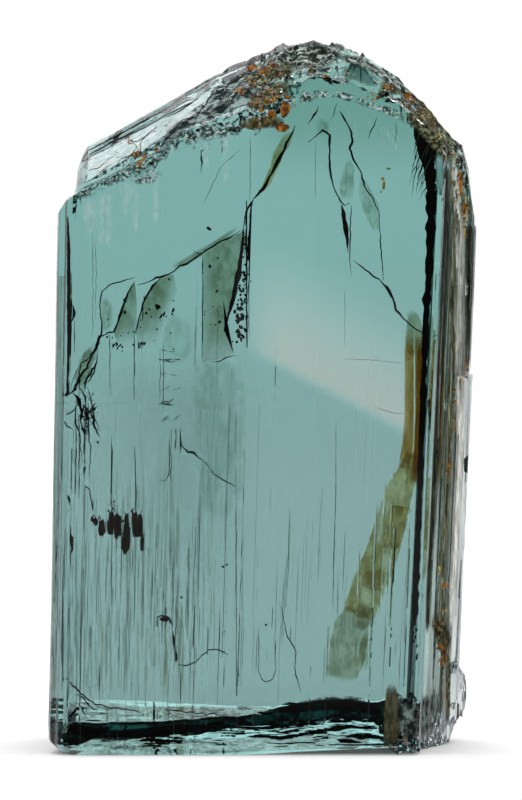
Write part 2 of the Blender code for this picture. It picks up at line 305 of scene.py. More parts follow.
def write_mesh(bm, name, material, smooth_angle=None):
    """An object in metres from a bmesh in millimetres."""
    bm.transform(Matrix.Scale(MM, 4))
    mesh = bpy.data.meshes.new(name)
    bm.to_mesh(mesh)
    bm.free()
    mesh.materials.append(material)
    if smooth_angle:
        mesh.shade_smooth()
        mesh.set_sharp_from_angle(angle=smooth_angle)
    made = bpy.data.objects.new(name, mesh)
    bpy.context.scene.collection.objects.link(made)
    return made


def inclusion(bm, name, material, smooth_angle=None):
    """A piece of the crystal: it moves with the body."""
    bmesh.ops.recalc_face_normals(bm, faces=bm.faces)
    made = write_mesh(bm, name, material, smooth_angle)
    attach(made, "root")
    return made


# ---------------------------------------------------------------- the crystal's mesh


def striae():
    """Fine upright grooves on the front and back faces: base x, half-width, depth, low and high z, side."""
    random.seed(11)
    grooves = []
    for side, count in (("front", 54), ("back", 44)):
        for _ in range(count):
            left = random.random() < 0.66
            x = random.uniform(-10.0, -2.5) if left else random.uniform(-2.5, 7.1)
            half = random.choice((0.03, 0.04, 0.05, 0.07))
            depth = half * (random.uniform(0.12, 0.45) if side == "front" else random.uniform(0.25, 0.7))
            low = random.uniform(0.5, 6.0) if random.random() < 0.75 else random.uniform(8.0, 20.0)
            high = min(low + random.uniform(6.0, 17.0), 27.5 if left else 29.5)
            if side == "front" and not left:
                low, high = low * 0.6, min(high, 14.5)
            grooves.append((x, half, depth, low, high, side))
    for x, z_low, z_high in (
        (-1.4, 2.0, 16.0), (-2.95, 2.0, 17.5), (-5.65, 1.5, 18.0), (-8.1, 1.5, 17.0), (3.1, 2.0, 14.0),
        (5.2, 1.5, 13.0), (6.9, 2.0, 12.0), (-9.3, 1.0, 18.0), (-7.3, 1.0, 20.0), (0.9, 1.0, 10.0),
        (-0.4, 6.0, 14.5), (-4.6, 1.0, 9.0), (2.2, 1.0, 6.0), (-6.6, 13.0, 24.0),
    ):
        grooves.append((x, 0.05, 0.04, z_low, z_high, "front"))
    grooves.sort()
    kept = []
    for groove in grooves:
        clash = any(g[5] == groove[5] and groove[0] - g[0] < groove[1] + g[1] + 0.02 for g in kept)
        if not clash:
            kept.append(groove)
    return kept


ROOF_LINES = (0.3,)  # y of fine growth lines on the smooth left roof facet
# The place on the smooth left facet, as y, where the stepped dark facet in front of it begins.
STEPPED_LINE = (
    (-4.2, -2.4), (-3.85, -2.0), (-2.95, -1.75), (-2.64, -0.9), (-1.6, -0.77), (-0.9, -0.5), (0.5, 0.3),
)
# The shelf of the hollow base: its lower and upper height along x, and y of its lower edge.
SHELF_LOW = ((-9.8, 1.33), (-5.7, 1.42), (-3.2, 1.52), (-0.7, 1.75))
SHELF_HIGH = ((-9.8, 2.3), (-8.0, 2.4), (-5.7, 2.3), (-3.2, 2.15), (-0.7, 2.0))
SHELF_EDGE = ((-9.8, -0.45), (-5.7, -0.35), (-3.2, 0.45), (-0.7, 1.5))
SHELF_BACK = 3.35


def base_move(x, y, z):
    """How a point of the base moves: calm on the shelf, scalloped in front of it, blocky on the right."""
    edge = along(SHELF_EDGE, x)
    on_shelf = clamped((y - edge) / 0.4) * clamped(-0.2 - x) * (y < SHELF_BACK + 0.1)
    blocky = clamped((x - 6.3) / 0.3)
    share = (y - edge) / (SHELF_BACK - edge)
    level = along(SHELF_LOW, x) * (1 - share) + along(SHELF_HIGH, x) * share
    move = (level - z) * 0.85 * on_shelf if -9.5 < x else 0.0
    move += 0.035 * on_shelf * max(0.0, ripple(x * 0.9, y * 2.2, 4.0) - 0.15)
    scallop = 0.016 * ripple(x * 0.9, y * 2.8, 1.7) + 0.012 * ripple(x * 4.0, y * 3.0, 2.2)
    move += (1 - on_shelf) * scallop
    block = noise.cell(Vector((x * 3.1, y * 1.9, 0.4))) - 0.5
    move += blocky * (0.34 * block + 0.2 * ripple(x * 5, y * 5, 1))
    if x > 0.8:
        before = clamped((1.5 - y) / 0.7)  # in front of the riser
        move += (0.11 * before - 0.07 * (1 - before)) * z * min(1.0, (x - 0.8) / 1.0)
    return max(min(1.0, z / 0.5) * move, -z)


def crystal_bmesh():
    """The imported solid, in millimetres, cut into columns and rows that are fine enough to carve."""
    bm = bmesh.new()
    bm.from_mesh(bpy.data.objects[NODE].data)
    bm.transform(Matrix.Scale(1 / MM, 4))
    bmesh.ops.remove_doubles(bm, verts=bm.verts, dist=1e-4)
    bmesh.ops.dissolve_limit(bm, angle_limit=math.radians(0.05), verts=bm.verts, edges=bm.edges)
    grooves = striae()

    def faces(test):
        bm.normal_update()
        return [f for f in bm.faces if test(f.normal, f.calc_center_median())]

    def roof(normal, centre):
        return normal.z > 0.25 and centre.z > 25

    slice_up(bm, list(bm.faces), [column_plane(x) for x in spaced(-11.0, 11.0, 0.25)])
    for side, sign in (("front", -1), ("back", 1)):
        cuts = sorted(g[0] + k * g[1] for g in grooves if g[5] == side for k in (-1, 0, 1))
        slice_up(bm, faces(lambda n, c: n.y * sign > 0.95), [column_plane(x) for x in cuts])
    slice_up(bm, faces(lambda n, c: abs(n.z) < 0.25), [flat_plane(2, z) for z in spaced(0.5, 36.0, 1.0)])
    etched_faces = faces(lambda n, c: n.y < -0.95 and c.z > 26)
    slice_up(bm, etched_faces, [flat_plane(2, z) for z in spaced(26.1, 34.6, 0.2)])
    flanks = faces(lambda n, c: abs(n.x) > 0.3 and abs(n.z) < 0.25)
    slice_up(bm, flanks, [flat_plane(1, y) for y in spaced(-4.55, 4.65, 0.1)])
    slice_up(bm, faces(roof), [column_plane(x) for x in spaced(-10.875, 10.9, 0.25)])
    rows = sorted(spaced(-4.7, 4.7, 0.2) + [y + k * 0.035 for y in ROOF_LINES for k in (-1, 0, 1)])
    slice_up(bm, faces(roof), [flat_plane(1, y) for y in rows])
    underside = faces(lambda n, c: n.z < -0.1 and c.z < 5)
    slice_up(bm, underside, [flat_plane(1, y) for y in spaced(-4.7, 4.7, 0.2)])
    bm.normal_update()
    carve(bm, grooves)
    return bm


GROOVE_FADE = 2.5  # millimetres over which a groove runs out at its ends
ETCHED_RIM = 1.6  # how far below its upper edge the front face is eaten away
SET_BACK, SET_BACK_Y = (4.55, 7.7), -4.73  # base x of the strip of the front face that stands back, and its y


def carve(bm, grooves):
    """Move the cut mesh's points: grooves, flank striations, the splintered crest, the rippled base."""
    frost = bm.verts.layers.float.new("frost")
    by_side = {side: [g for g in grooves if g[5] == side] for side in ("front", "back")}
    places = {side: [g[0] for g in by_side[side]] for side in by_side}
    moves = []
    for vert in bm.verts:
        x, y, z = vert.co
        normals = [f.normal for f in vert.link_faces]
        move = Vector((0, 0, 0))
        up = max(n.z for n in normals)
        down = min(n.z for n in normals)
        if up > 0.25 and z > 25:
            move += roof_move(x, y)
            vert[frost] = 0.12 * along(ROUGH_LINE, x) if y > JOIN_Y else 0.2
        elif down < -0.1 and z < 5:
            move.z += base_move(x, y, z)
        else:
            for side, sign in (("front", 1), ("back", -1)):
                if not any(n.y * sign < -0.95 for n in normals):
                    continue
                base_x = upright(x, z)
                at = bisect.bisect_left(places[side], base_x - 0.002)
                if at < len(places[side]) and abs(places[side][at] - base_x) < 0.002:
                    _, _, depth, low, high, _ = by_side[side][at]
                    ends = min(1.0, (z - low) / GROOVE_FADE, (high - z) / GROOVE_FADE)
                    if ends > 0:
                        deep = 0.75 + 0.5 * ripple(base_x * 9, 0, z * 0.3)
                        move.y += sign * depth * ends * deep
            if any(n.y < -0.95 for n in normals):
                if SET_BACK[0] < upright(x, z) < SET_BACK[1]:
                    move.y += SET_BACK_Y - y
                below = along(EDGE_LINE, x) - z
                if below < ETCHED_RIM and x < 7.6:
                    patch = 0.4 + 0.6 * max(0.0, ripple(x * 0.7, 3, z))
                    eaten = max(0.0, 1 - below / ETCHED_RIM) * patch
                    move.y += 0.1 * eaten * (0.5 + ripple(x * 5.0, 0.5, z * 1.6))
            if any(abs(n.x) > 0.3 for n in normals) and all(abs(n.z) < 0.5 for n in normals) and y > -4.5:
                fine = ripple(x * 0.3, y * 8.0, z * 0.05)
                finer = ripple(x * 0.3, y * 21.0, z * 0.12 + 9)
                move.x += 0.05 * fine + 0.025 * finer
                if x > 0:
                    vert[frost] = max(0.0, 0.25 + 1.2 * ripple(x * 0.3, y * 5.0, z * 0.12 + 3))
        moves.append((vert, move))
    for vert, move in moves:
        vert.co += move


def roof_move(x, y):
    """How a point of the roof moves: calm on the smooth left, stepped and splintered on the broken rest."""
    rough = along(ROUGH_LINE, x)
    place = Vector((x, y, 0))
    move = Vector((0, 0, 0))
    smooth = x < -0.9 and y > along(STEPPED_LINE, x)
    if smooth:
        rough = 0.06 + 0.3 * max(0.0, (x + 3.4) / 2.5)
        for line in ROOF_LINES:
            if abs(y - line) < 0.004:
                move.z -= 0.09 * max(0.0, 0.4 + ripple(x * 0.5, line * 9, 4.0))
    if 3.6 < x < 6.1:
        rough = min(rough, 0.1 + 0.4 * max(0.0, (y - 0.1) / 0.4))
    if y > RIDGE_Y or y < JOIN_Y:
        rough = max(rough, 0.12)
    elif not smooth and x > -5.2:
        # Small steps that run with the ridge; where they fade the facet shows bright streaks.
        streak = ripple(x * 0.7, y * 4.0, 8.0)
        teeth = abs(((y + 4.7) / 0.4) % 1.0 - 0.5) * 4 - 1
        move.z += teeth * 0.1 * clamped(0.75 + 2.2 * streak)
        rough = max(rough, 0.3)
    chunk = noise.cell(place * 2.6 + Vector((0.3, 0.7, 0.2))) - 0.5
    chip = noise.noise(place * 3.1)
    splinter = noise.noise(place * 7.3 + Vector((5, 1, 0)))
    move.z += rough * (0.09 * chunk + 0.16 * chip + 0.09 * splinter)
    move.y += rough * 0.08 * noise.noise(place * 4.7 + Vector((0, 8, 3)))
    move.x += rough * 0.06 * noise.noise(place * 5.3 + Vector((2, 4, 7)))
    ridge_calm = 1 - 0.5 * max(0.0, 1 - abs(y - RIDGE_Y) / 0.5)
    return move * ridge_calm


crystal_mesh = crystal_bmesh()
surface_tree = BVHTree.FromBMesh(crystal_mesh)
crystal_mesh.normal_update()
sharpen(crystal_mesh)
crystal = write_mesh(crystal_mesh, "crystal", zoisite_material())
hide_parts(NODE)
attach(crystal, "root")


# ---------------------------------------------------------------- inclusions


def refined(line, step):
    """Points of a polyline no further apart than step; each point may carry more numbers than x and z."""
    points = [line[0]]
    for a, b in zip(line, line[1:]):
        count = max(1, math.ceil(math.hypot(b[0] - a[0], b[1] - a[1]) / step))
        for i in range(1, count + 1):
            points.append(tuple(p + (q - p) * i / count for p, q in zip(a, b)))
    return points


def fade_layer(bm):
    return bm.verts.layers.float.get("fade") or bm.verts.layers.float.new("fade")


def shell(bm, grid):
    """Close a grid of vertex pairs, one of each pair on either side, into a thin sheet."""
    for a, b in zip(grid, grid[1:]):
        for p, q, r, t in zip(a, a[1:], b, b[1:]):
            bm.faces.new((p[0], q[0], t[0], r[0]))
            bm.faces.new((p[1], r[1], t[1], q[1]))
        bm.faces.new((a[0][0], b[0][0], b[0][1], a[0][1]))
        bm.faces.new((a[-1][0], a[-1][1], b[-1][1], b[-1][0]))
    for row in (grid[0], grid[-1]):
        for p, q in zip(row, row[1:]):
            bm.faces.new((p[0], p[1], q[1], q[0]))


def course(line, i):
    """The unit direction of a line of (x, z, ...) points at point i, and the one at right angles."""
    a, b = line[max(0, i - 1)], line[min(len(line) - 1, i + 1)]
    run = Vector((b[0] - a[0], b[1] - a[1])).normalized()
    return run, Vector((run.y, -run.x))


def new_vert(bm, place, fade):
    layer = fade_layer(bm)
    vert = bm.verts.new(place)
    vert[layer] = fade
    return vert


def ribbon(bm, line, near, far, sway, jag, seed):
    """A thin sheet that runs back into the crystal, for fractures, tubes and the black band's painted shade,
    from one y to another, behind (x, z, width) points.
    """
    line = refined(line, 0.2)
    count = max(1, round((far - near) / 0.6))
    grid = []
    for i, (x, z, wide) in enumerate(line):
        _, aside = course(line, i)
        ends = min(1.0, 0.25 + 0.25 * i, 0.25 + 0.25 * (len(line) - 1 - i))
        wide *= ends * (1 + 0.7 * ripple(x * 1.9, z * 1.9, seed + 4))
        coarse, fine = (ripple(x * k, z * k, seed) for k in (3, 8))
        jitter = jag * (coarse + 0.6 * fine)
        row = []
        for k in range(count + 1):
            y = near + (far - near) * k / count
            bend = jitter + sway * (y - near) * ripple(x * 0.8, y * 0.9 + seed, z * 0.8)
            ats = [aside * (bend + side * wide) for side in (-0.5, 0.5)]
            row.append([new_vert(bm, (x + at.x, y, z + at.y), 1.0 - 0.5 * k / count) for at in ats])
        grid.append(row)
    shell(bm, grid)


SHEET, FILM = 0.03, 0.02  # how thick a sheet inside the body is, and a film along its faces


def veil(bm, line, y, tilt, ragged, seed, soft, taper, thick=SHEET):
    """A flat sheet seen face on, for healed cracks and painted shade: a band along (x, z, half-width) points,
    fading to its edges.
    """
    line = refined(line, 0.3)
    grid = []
    for i, (x, z, half) in enumerate(line):
        _, aside = course(line, i)
        ends = min(1.0, i / taper, (len(line) - 1 - i) / taper)
        row = []
        for share in (-1.0, -0.8, -0.5, 0.0, 0.5, 0.8, 1.0):
            wide = share * half * (1 + ragged * ripple(x * 2 + share * 5, z * 2, seed))
            px, pz = x + aside.x * wide, z + aside.y * wide
            depth = y + tilt * share * half + 0.05 * ripple(px, pz, seed + 7)
            fade = ends * min(1.0, (1 - abs(share)) / soft)
            row.append([new_vert(bm, (px, depth + side * thick, pz), fade) for side in (-0.5, 0.5)])
        grid.append(row)
    shell(bm, grid)


def pane(bm, outline, y):
    """A flat crack seen face on, from the outline's (x, z, fade) points."""
    middle = [sum(p[k] for p in outline) / len(outline) for k in (0, 1)]
    fans = []
    for k in (-0.5, 0.5):
        hub = new_vert(bm, (middle[0], y + k * SHEET, middle[1]), 1.0)
        rim = [new_vert(bm, (x, y + k * SHEET, z), fade) for x, z, fade in outline]
        for i in range(len(rim)):
            bm.faces.new((hub, rim[i - 1], rim[i]))
        fans.append(rim)
    for i in range(len(outline)):
        bm.faces.new((fans[0][i - 1], fans[0][i], fans[1][i], fans[1][i - 1]))


def film(bm, outline, low, high, inset, soft=2.0):
    """A stain that follows upright faces just below them: an outline of (x, y) points as at the base."""
    outline = refined(outline, 0.3)
    levels = spaced(low, high, 1.0)
    grid = []
    for i, (x, y) in enumerate(outline):
        run, _ = course(outline, i)
        row = []
        for z in levels:
            fade = min(1.0, (z - low) / 2.0, (high - z) / soft)
            spots = [(x - run.y * k, y + run.x * k) for k in (inset, inset + FILM)]
            row.append([new_vert(bm, (leaned(bx, z), by, z), fade) for bx, by in spots])
        grid.append(row)
    shell(bm, grid)


# How far across a strip its points are, for a hair crack, a streak and a broad crust.
HAIR, WIDE, BROAD = (-1.0, 1.0), (-1.0, -0.5, 0.0, 0.5, 1.0), (-1.0, -0.66, -0.33, 0.0, 0.33, 0.66, 1.0)
PULLS = (1.0, 0.83, 0.62, 0.41, 0.23, 0.07)  # how a strip's point is drawn in where it would pass the outline
SUNK = 0.02  # how deep the underside of a strip lies


def on_surface(x, z):
    """Where a line straight back from the front meets the crystal, and the surface's normal there."""
    hit, normal, _, _ = surface_tree.ray_cast(Vector((x, -12, z)), Vector((0, 1, 0)))
    return hit, normal


def close_rows(bm, rows):
    """A thin sheet from two rows or more; a lone row is deleted."""
    if len(rows) > 1:
        shell(bm, rows)
    else:
        lone = [vert for row in rows for pair in row for vert in pair]
        bmesh.ops.delete(bm, geom=lone, context="VERTS")


def skin(bm, line, half, shares=HAIR, lift=0.012, jag=0.0):
    """A thin strip on the outside of the crystal, along (x, z) or (x, z, half-width) points.

    It lies where the line shows from the front, and its shares say how far across each of its points is.
    """
    line = refined([p if len(p) > 2 else (*p, half) for p in line], 0.15)
    grid = []
    for i, (x, z, wide) in enumerate(line):
        _, aside = course(line, i)
        shift = jag * ripple(x * 3, z * 3, 5)
        ends = min(1.0, i / 4.0, (len(line) - 1 - i) / 4.0)
        row = []
        for share in shares:
            for pull in PULLS:
                reach = shift + share * wide * (0.4 + 0.6 * ends) * pull
                at, normal = on_surface(x + aside.x * reach, z + aside.y * reach)
                if at is not None:
                    break
            if at is not None:
                fade = 1.0 if shares == HAIR else ends * min(1.0, 2.2 * (1 - abs(share)))
                row.append([new_vert(bm, at + normal * k, fade) for k in (lift, -SUNK)])
        if len(row) == len(shares):
            grid.append(row)
        else:
            close_rows(bm, [row])
            close_rows(bm, grid)
            grid = []
    close_rows(bm, grid)


def lump(bm, place, size, turn=0.0, seed=0.0, detail=2, rough=0.3, box=1.0):
    """An irregular closed grain of the given radii, turned in the plane of the front face.

    A box below 1 makes it squarer.
    """
    fade = fade_layer(bm)
    spin = Matrix.Rotation(turn, 4, "Y")
    made = bmesh.ops.create_icosphere(bm, subdivisions=detail, radius=1.0)["verts"]
    for vert in made:
        swell = 1 + rough * noise.noise(vert.co * 1.7 + Vector((seed, seed * 0.7, seed * 1.3)))
        at = Vector([math.copysign(abs(c) ** box, c) * r for c, r in zip(vert.co, size)]) * swell
        vert.co = Vector(place) + spin @ at
        vert[fade] = 1.0


# Open cracks: each runs back from one y to another and has its sway, jag and noise seed, then its
# (x, z, width) points.
CRACKS = (
    # The long crack on the left: stepped, from the broken edge down to the left bevel.
    (-4.6, -2.9, 0.05, 0.05, 1, (1.6, 31.8, 0.05), (1.4, 31.3, 0.09), (1.18, 30.9, 0.12), (0.9, 30.3, 0.13),
     (0.46, 29.55, 0.12), (0.1, 28.7, 0.1), (-0.5, 28.1, 0.09)),
    (-4.7, -3, 0.03, 0.03, 1.5, (-0.5, 28.1, 0.04), (-0.63, 27.7, 0.06), (-0.68, 27.1, 0.09),
     (-0.75, 26.1, 0.12), (-0.8, 25, 0.05)),
    (-4.7, -3.4, 0.03, 0.03, 1.7, (-0.5, 28.1, 0.05), (-0.85, 27.6, 0.05), (-0.95, 27, 0.06),
     (-1.03, 26.5, 0.08)),
    (-4.7, -2.8, 0.04, 0.03, 2, (-1, 26.6, 0.06), (-1.08, 25.6, 0.16), (-1.25, 24.4, 0.24),
     (-1.5, 23.2, 0.22), (-1.75, 22.3, 0.16), (-1.98, 21.4, 0.03)),
    (-4.6, -3.8, 0, 0.03, 3, (-0.88, 28, 0.02), (-0.88, 24.5, 0.04), (-0.86, 20.6, 0.02)),
    (-4.6, -3.8, 0, 0.03, 3.4, (-0.72, 27, 0.02), (-0.74, 23.5, 0.05), (-0.73, 21, 0.02)),
    (-4.66, -3.8, 0.05, 0.05, 4, (-1.03, 26.55, 0.04), (-2.2, 25.9, 0.07), (-3.05, 25.4, 0.07),
     (-3.7, 24.95, 0.1), (-4.2, 24.72, 0.08), (-4.6, 24.4, 0.05), (-5.1, 24.2, 0.1), (-5.4, 24.15, 0.1),
     (-5.7, 23.95, 0.05), (-6.35, 23.75, 0.03)),
    (-4.6, -4.2, 0.03, 0.03, 4.2, (-3.6, 25.5, 0.02), (-3.3, 25.35, 0.05), (-3.05, 25.4, 0.04)),
    (-4.66, -3.9, 0.04, 0.05, 5, (-6.5, 24.15, 0.05), (-7.2, 23.95, 0.05), (-7.75, 23.75, 0.04),
     (-8.15, 23.45, 0.05), (-8.25, 22.7, 0.04), (-8.15, 21.95, 0.05), (-8.2, 21.3, 0.08), (-8.35, 20.9, 0.13),
     (-8.5, 20.5, 0.12)),
    (-4.66, -3.8, 0.04, 0.06, 5.3, (-8, 21.25, 0.08), (-8.3, 21.2, 0.12), (-8.45, 20.6, 0.12),
     (-8.75, 20.1, 0.05), (-9.2, 19.8, 0.05), (-9.3, 19.3, 0.05), (-9.25, 18.9, 0.07), (-9.5, 18.5, 0.09),
     (-9.85, 18.15, 0.08)),
    (-4.6, -4.1, 0.05, 0.08, 50, (-8.2, 20.9, 0.08), (-8.6, 20.3, 0.08), (-8.9, 19.6, 0.1), (-9.3, 19, 0.12),
     (-9.6, 18.4, 0.1)),
    (-4.6, -4.1, 0.05, 0.08, 51, (-8.35, 20.2, 0.05), (-8.5, 19.6, 0.08), (-8.9, 19.1, 0.08),
     (-9.1, 18.5, 0.06)),
    (-4.6, -4.1, 0.05, 0.08, 52, (-9.6, 18.4, 0.08), (-9.3, 18, 0.1), (-9.15, 17.4, 0.1), (-9.2, 16.8, 0.06)),
    (-4.6, -4.1, 0.05, 0.08, 53, (-9.25, 18.6, 0.06), (-9, 18.1, 0.08), (-8.9, 17.5, 0.06)),
    (-4.6, -4.1, 0.05, 0.08, 54, (-8.85, 18.6, 0.04), (-8.65, 17.8, 0.05), (-8.55, 16.9, 0.09),
     (-8.4, 16.3, 0.08), (-8.25, 16.1, 0.03)),
    (-4.6, -4.1, 0.05, 0.08, 55, (-3.15, 30.5, 0.06), (-3.13, 29.9, 0.1), (-3.1, 29.4, 0.04)),
    (-4.6, -4.1, 0.05, 0.08, 56, (-2.1, 30.75, 0.1), (-2.08, 30.4, 0.06)),
    (-4.6, -4.1, 0.04, 0.05, 5.6, (-9, 18.8, 0.05), (-8.75, 18.95, 0.05), (-8.55, 19.3, 0.06),
     (-8.4, 19.9, 0.04), (-8.35, 20.5, 0.04)),
    (-4.5, -4.1, 0.04, 0.05, 5.7, (-9.85, 18.15, 0.03), (-9.6, 19, 0.03), (-9.1, 20, 0.02)),
    # Two curved branches below it, and the upright lines under them.
    (-4.6, -3.7, 0.04, 0.04, 5.9, (-6.5, 23.95, 0.04), (-6.8, 23.4, 0.09), (-7.1, 22.7, 0.12),
     (-7.35, 21.9, 0.09), (-7.55, 21.4, 0.06), (-7.85, 21.35, 0.08), (-8.1, 21.2, 0.06)),
    (-4.6, -3.7, 0.04, 0.04, 6.1, (-5.2, 24.1, 0.05), (-5.6, 23.7, 0.1), (-6, 23, 0.09), (-6.3, 22.1, 0.04),
     (-6.45, 21.3, 0.02)),
    (-4.6, -4.2, 0, 0.02, 6.2, (-7.75, 21.3, 0.04), (-7.73, 19.5, 0.03), (-7.72, 18.2, 0.02)),
    (-4.6, -4.2, 0, 0.02, 6.3, (-6.5, 21.3, 0.04), (-6.52, 19.5, 0.03), (-6.53, 18, 0.02)),
    (-4.6, -4.1, 0, 0.02, 6.4, (-3.08, 25.3, 0.05), (-3.08, 23.5, 0.03), (-3.07, 21.5, 0.04),
     (-3.1, 20, 0.03), (-2.85, 19.75, 0.02)),
    (-4.6, -4.2, 0.02, 0.05, 6.5, (-2.6, 19.85, 0.03), (-2.2, 19.95, 0.04), (-1.6, 20.2, 0.05),
     (-1.4, 20.25, 0.03)),
    # The branching cracks under the crest.
    (-4.7, -3.2, 0.04, 0.04, 7, (2.25, 30.95, 0.03), (2.54, 31.15, 0.05), (2.95, 31.6, 0.08),
     (3.15, 31.5, 0.07), (3.35, 31.3, 0.1), (3.33, 30.5, 0.07), (3.35, 29.8, 0.08), (3.4, 29.2, 0.06),
     (3.58, 28.6, 0.04), (3.85, 28, 0.05), (4.1, 27.8, 0.05), (4.35, 27.9, 0.06)),
    (-4.6, -3.4, 0.02, 0.04, 7.3, (3.93, 27.8, 0.12), (4.02, 27.3, 0.24), (4.1, 26.8, 0.24),
     (4.2, 26.2, 0.16), (4.27, 25.4, 0.06)),
    (-4.5, -3.6, 0, 0.04, 7.5, (4.42, 27.8, 0.03), (4.38, 26.2, 0.05), (4.35, 25, 0.04), (4.45, 24.2, 0.02)),
    (-4.6, -3.4, 0.03, 0.06, 8, (4.51, 25, 0.03), (4.9, 24.7, 0.05), (5.4, 24.35, 0.06), (6.07, 23.8, 0.06)),
    (-4.55, -3.2, 0.03, 0.05, 9, (5.9, 23.95, 0.08), (6.2, 23.6, 0.14), (6.52, 23.1, 0.16),
     (6.67, 22.5, 0.09), (7.12, 22, 0.07), (7.6, 21.6, 0.06), (8.3, 21.2, 0.04)),
    (-4.65, -3.1, 0.04, 0.05, 10, (3.85, 32.5, 0.05), (4.2, 31.95, 0.05), (4.45, 31.4, 0.07),
     (4.47, 31, 0.09), (4.35, 30.6, 0.05), (4.5, 30.2, 0.04), (4.8, 29.6, 0.05), (4.98, 29.2, 0.08),
     (5.06, 28.8, 0.08), (5.2, 28.5, 0.05), (5.5, 28.2, 0.05), (5.8, 27.4, 0.03), (5.9, 26, 0.03),
     (6.05, 24, 0.03)),
    (-4.6, -4, 0.03, 0.04, 11, (2.22, 31.85, 0.04), (2.45, 32.15, 0.08), (2.68, 32.5, 0.07),
     (2.75, 32.8, 0.03)),
    (-4.6, -4, 0.03, 0.05, 12, (5.66, 32.2, 0.05), (5.6, 31.9, 0.09), (5.4, 31.5, 0.06), (5.25, 31.1, 0.03)),
    (-4.6, -4.1, 0.03, 0.05, 12.5, (3.3, 32, 0.02), (3.55, 32.3, 0.04), (3.7, 32.9, 0.03)),
    (-4.5, -4.1, 0.03, 0.05, 14, (-3, 27.9, 0.02), (-2.2, 29.6, 0.02), (-1.2, 30.6, 0.02)),
    (-4.5, -4.3, 0, 0.02, 15, (-0.7, 28, 0.016), (-0.68, 31.2, 0.016)),
    (-4.5, -4.3, 0, 0.02, 15.5, (2.62, 31, 0.014), (2.6, 28, 0.014)),
    (-4.6, -4.2, 0.02, 0.03, 16, (4, 20.05, 0.015), (5.6, 19.98, 0.015), (7, 19.8, 0.015)),
    (-4.6, -4.2, 0.02, 0.03, 17, (4.1, 23.5, 0.015), (4.1, 20.7, 0.015)),
    (-4.6, -4.2, 0.02, 0.03, 17.5, (5.6, 17.6, 0.015), (6.6, 17.3, 0.015), (7.1, 17.3, 0.015)),
    (-4.6, -4.3, 0, 0.02, 18, (3.65, 17, 0.015), (3.65, 13.5, 0.03), (3.55, 10, 0.04), (3.5, 7.4, 0.015)),
    # Curved and hooked cracks low down.
    (-4.55, -4.1, 0.02, 0.03, 19, (-4.6, 6.35, 0.09), (-4.52, 5.8, 0.1), (-4.45, 5.3, 0.16),
     (-4.38, 4.9, 0.19), (-4.36, 4.75, 0.1)),
    (-4.55, -4.2, 0.02, 0.03, 19.5, (-5.35, 6.5, 0.05), (-5.36, 6.95, 0.08), (-5.1, 7.1, 0.08),
     (-4.8, 7, 0.08), (-4.6, 6.6, 0.09), (-4.65, 6.3, 0.05)),
    (-4.6, -4, 0.04, 0.03, 20, (-4.3, 4.6, 0.034), (-3.9, 4.55, 0.034), (-3.45, 4.7, 0.034),
     (-3.1, 5.05, 0.034), (-2.7, 5.35, 0.034), (-2.3, 5.35, 0.034), (-1.8, 5.1, 0.034)),
    (-4.6, -4.3, 0, 0.02, 20.3, (-2.15, 6.1, 0.05), (-1.95, 6.3, 0.05)),
    (-4.6, -4.1, 0.04, 0.04, 21, (-0.23, 6.65, 0.025), (-0.25, 4.2, 0.025), (-0.1, 3.85, 0.025),
     (0.13, 3.7, 0.025), (0.48, 3.85, 0.025), (0.6, 4.3, 0.025), (0.58, 5.9, 0.025)),
    (-4.6, -3.9, 0.04, 0.06, 22, (0.83, 7.75, 0.02), (1.23, 6, 0.035), (1.61, 5.35, 0.04), (1.61, 4.1, 0.035),
     (1.89, 3.2, 0.02)),
    (-4.6, -4.1, 0.04, 0.05, 23, (-4.25, 16.2, 0.06), (-4.1, 15.6, 0.07), (-3.8, 15.35, 0.09),
     (-3.5, 15.3, 0.09), (-3.3, 15.1, 0.04), (-2.9, 14.8, 0.02), (-2.6, 14.3, 0.04), (-2, 13.9, 0.04),
     (-1.4, 13.6, 0.04)),
    (-4.6, -4.2, 0.02, 0.03, 23.3, (-4.75, 16.2, 0.03), (-4.75, 14.3, 0.04), (-4.9, 13.9, 0.03),
     (-5.2, 13.9, 0.03)),
    (-4.6, -4.1, 0.03, 0.05, 23.6, (-9.1, 14.6, 0.04), (-9, 13.7, 0.05), (-8.75, 13.45, 0.04),
     (-8.7, 12.9, 0.05), (-8.6, 12.2, 0.04), (-8.45, 12, 0.05)),
    (-4.55, -4.2, 0.02, 0.03, 24, (-7.66, 16.1, 0.02), (-7.66, 14.5, 0.04), (-7.68, 12.4, 0.08)),
    (-4.55, -4.2, 0.02, 0.03, 25, (-6.5, 15.6, 0.02), (-6.47, 13.8, 0.03), (-6.45, 12.3, 0.07)),
    (-4.6, -4.3, 0, 0.03, 26, (-1.38, 17.5, 0.02), (-1.4, 10, 0.02), (-1.38, 3, 0.02)),
    (-4.6, -4.3, 0, 0.03, 26.2, (-4.2, 4.4, 0.03), (-4.2, 2.2, 0.03)),
    # The dark line inside the left bevel.
    (-4.62, -4.3, 0, 0.02, 27, (-9.82, 27.2, 0.03), (-9.75, 25.8, 0.1), (-9.72, 23, 0.17), (-9.73, 21, 0.13),
     (-9.78, 19.4, 0.08), (-9.84, 18.2, 0.03)),
    (-4.62, -4.4, 0, 0.02, 28, (-9.77, 11.5, 0.03), (-9.7, 11, 0.14), (-9.68, 10.5, 0.16),
     (-9.76, 9.8, 0.03)),
    (-4.6, -4.4, 0, 0.02, 29, (-9.52, 22, 0.03), (-9.52, 20.4, 0.05)),
    # Wavy lines in the bright shelf of the base.
    (-4.4, -3.9, 0.05, 0.1, -10, (-10, 3.9, 0.03), (-9.4, 3.3, 0.06), (-8.9, 2.85, 0.04), (-8.5, 2.6, 0.06),
     (-7.7, 2.42, 0.05), (-7.2, 2.37, 0.03), (-6.2, 2.2, 0.02)),
    (-4.4, -3.9, 0.05, 0.1, -9.5, (-9.5, 3.1, 0.03), (-9.1, 2.9, 0.05), (-8.8, 2.5, 0.05), (-8.4, 2.3, 0.02)),
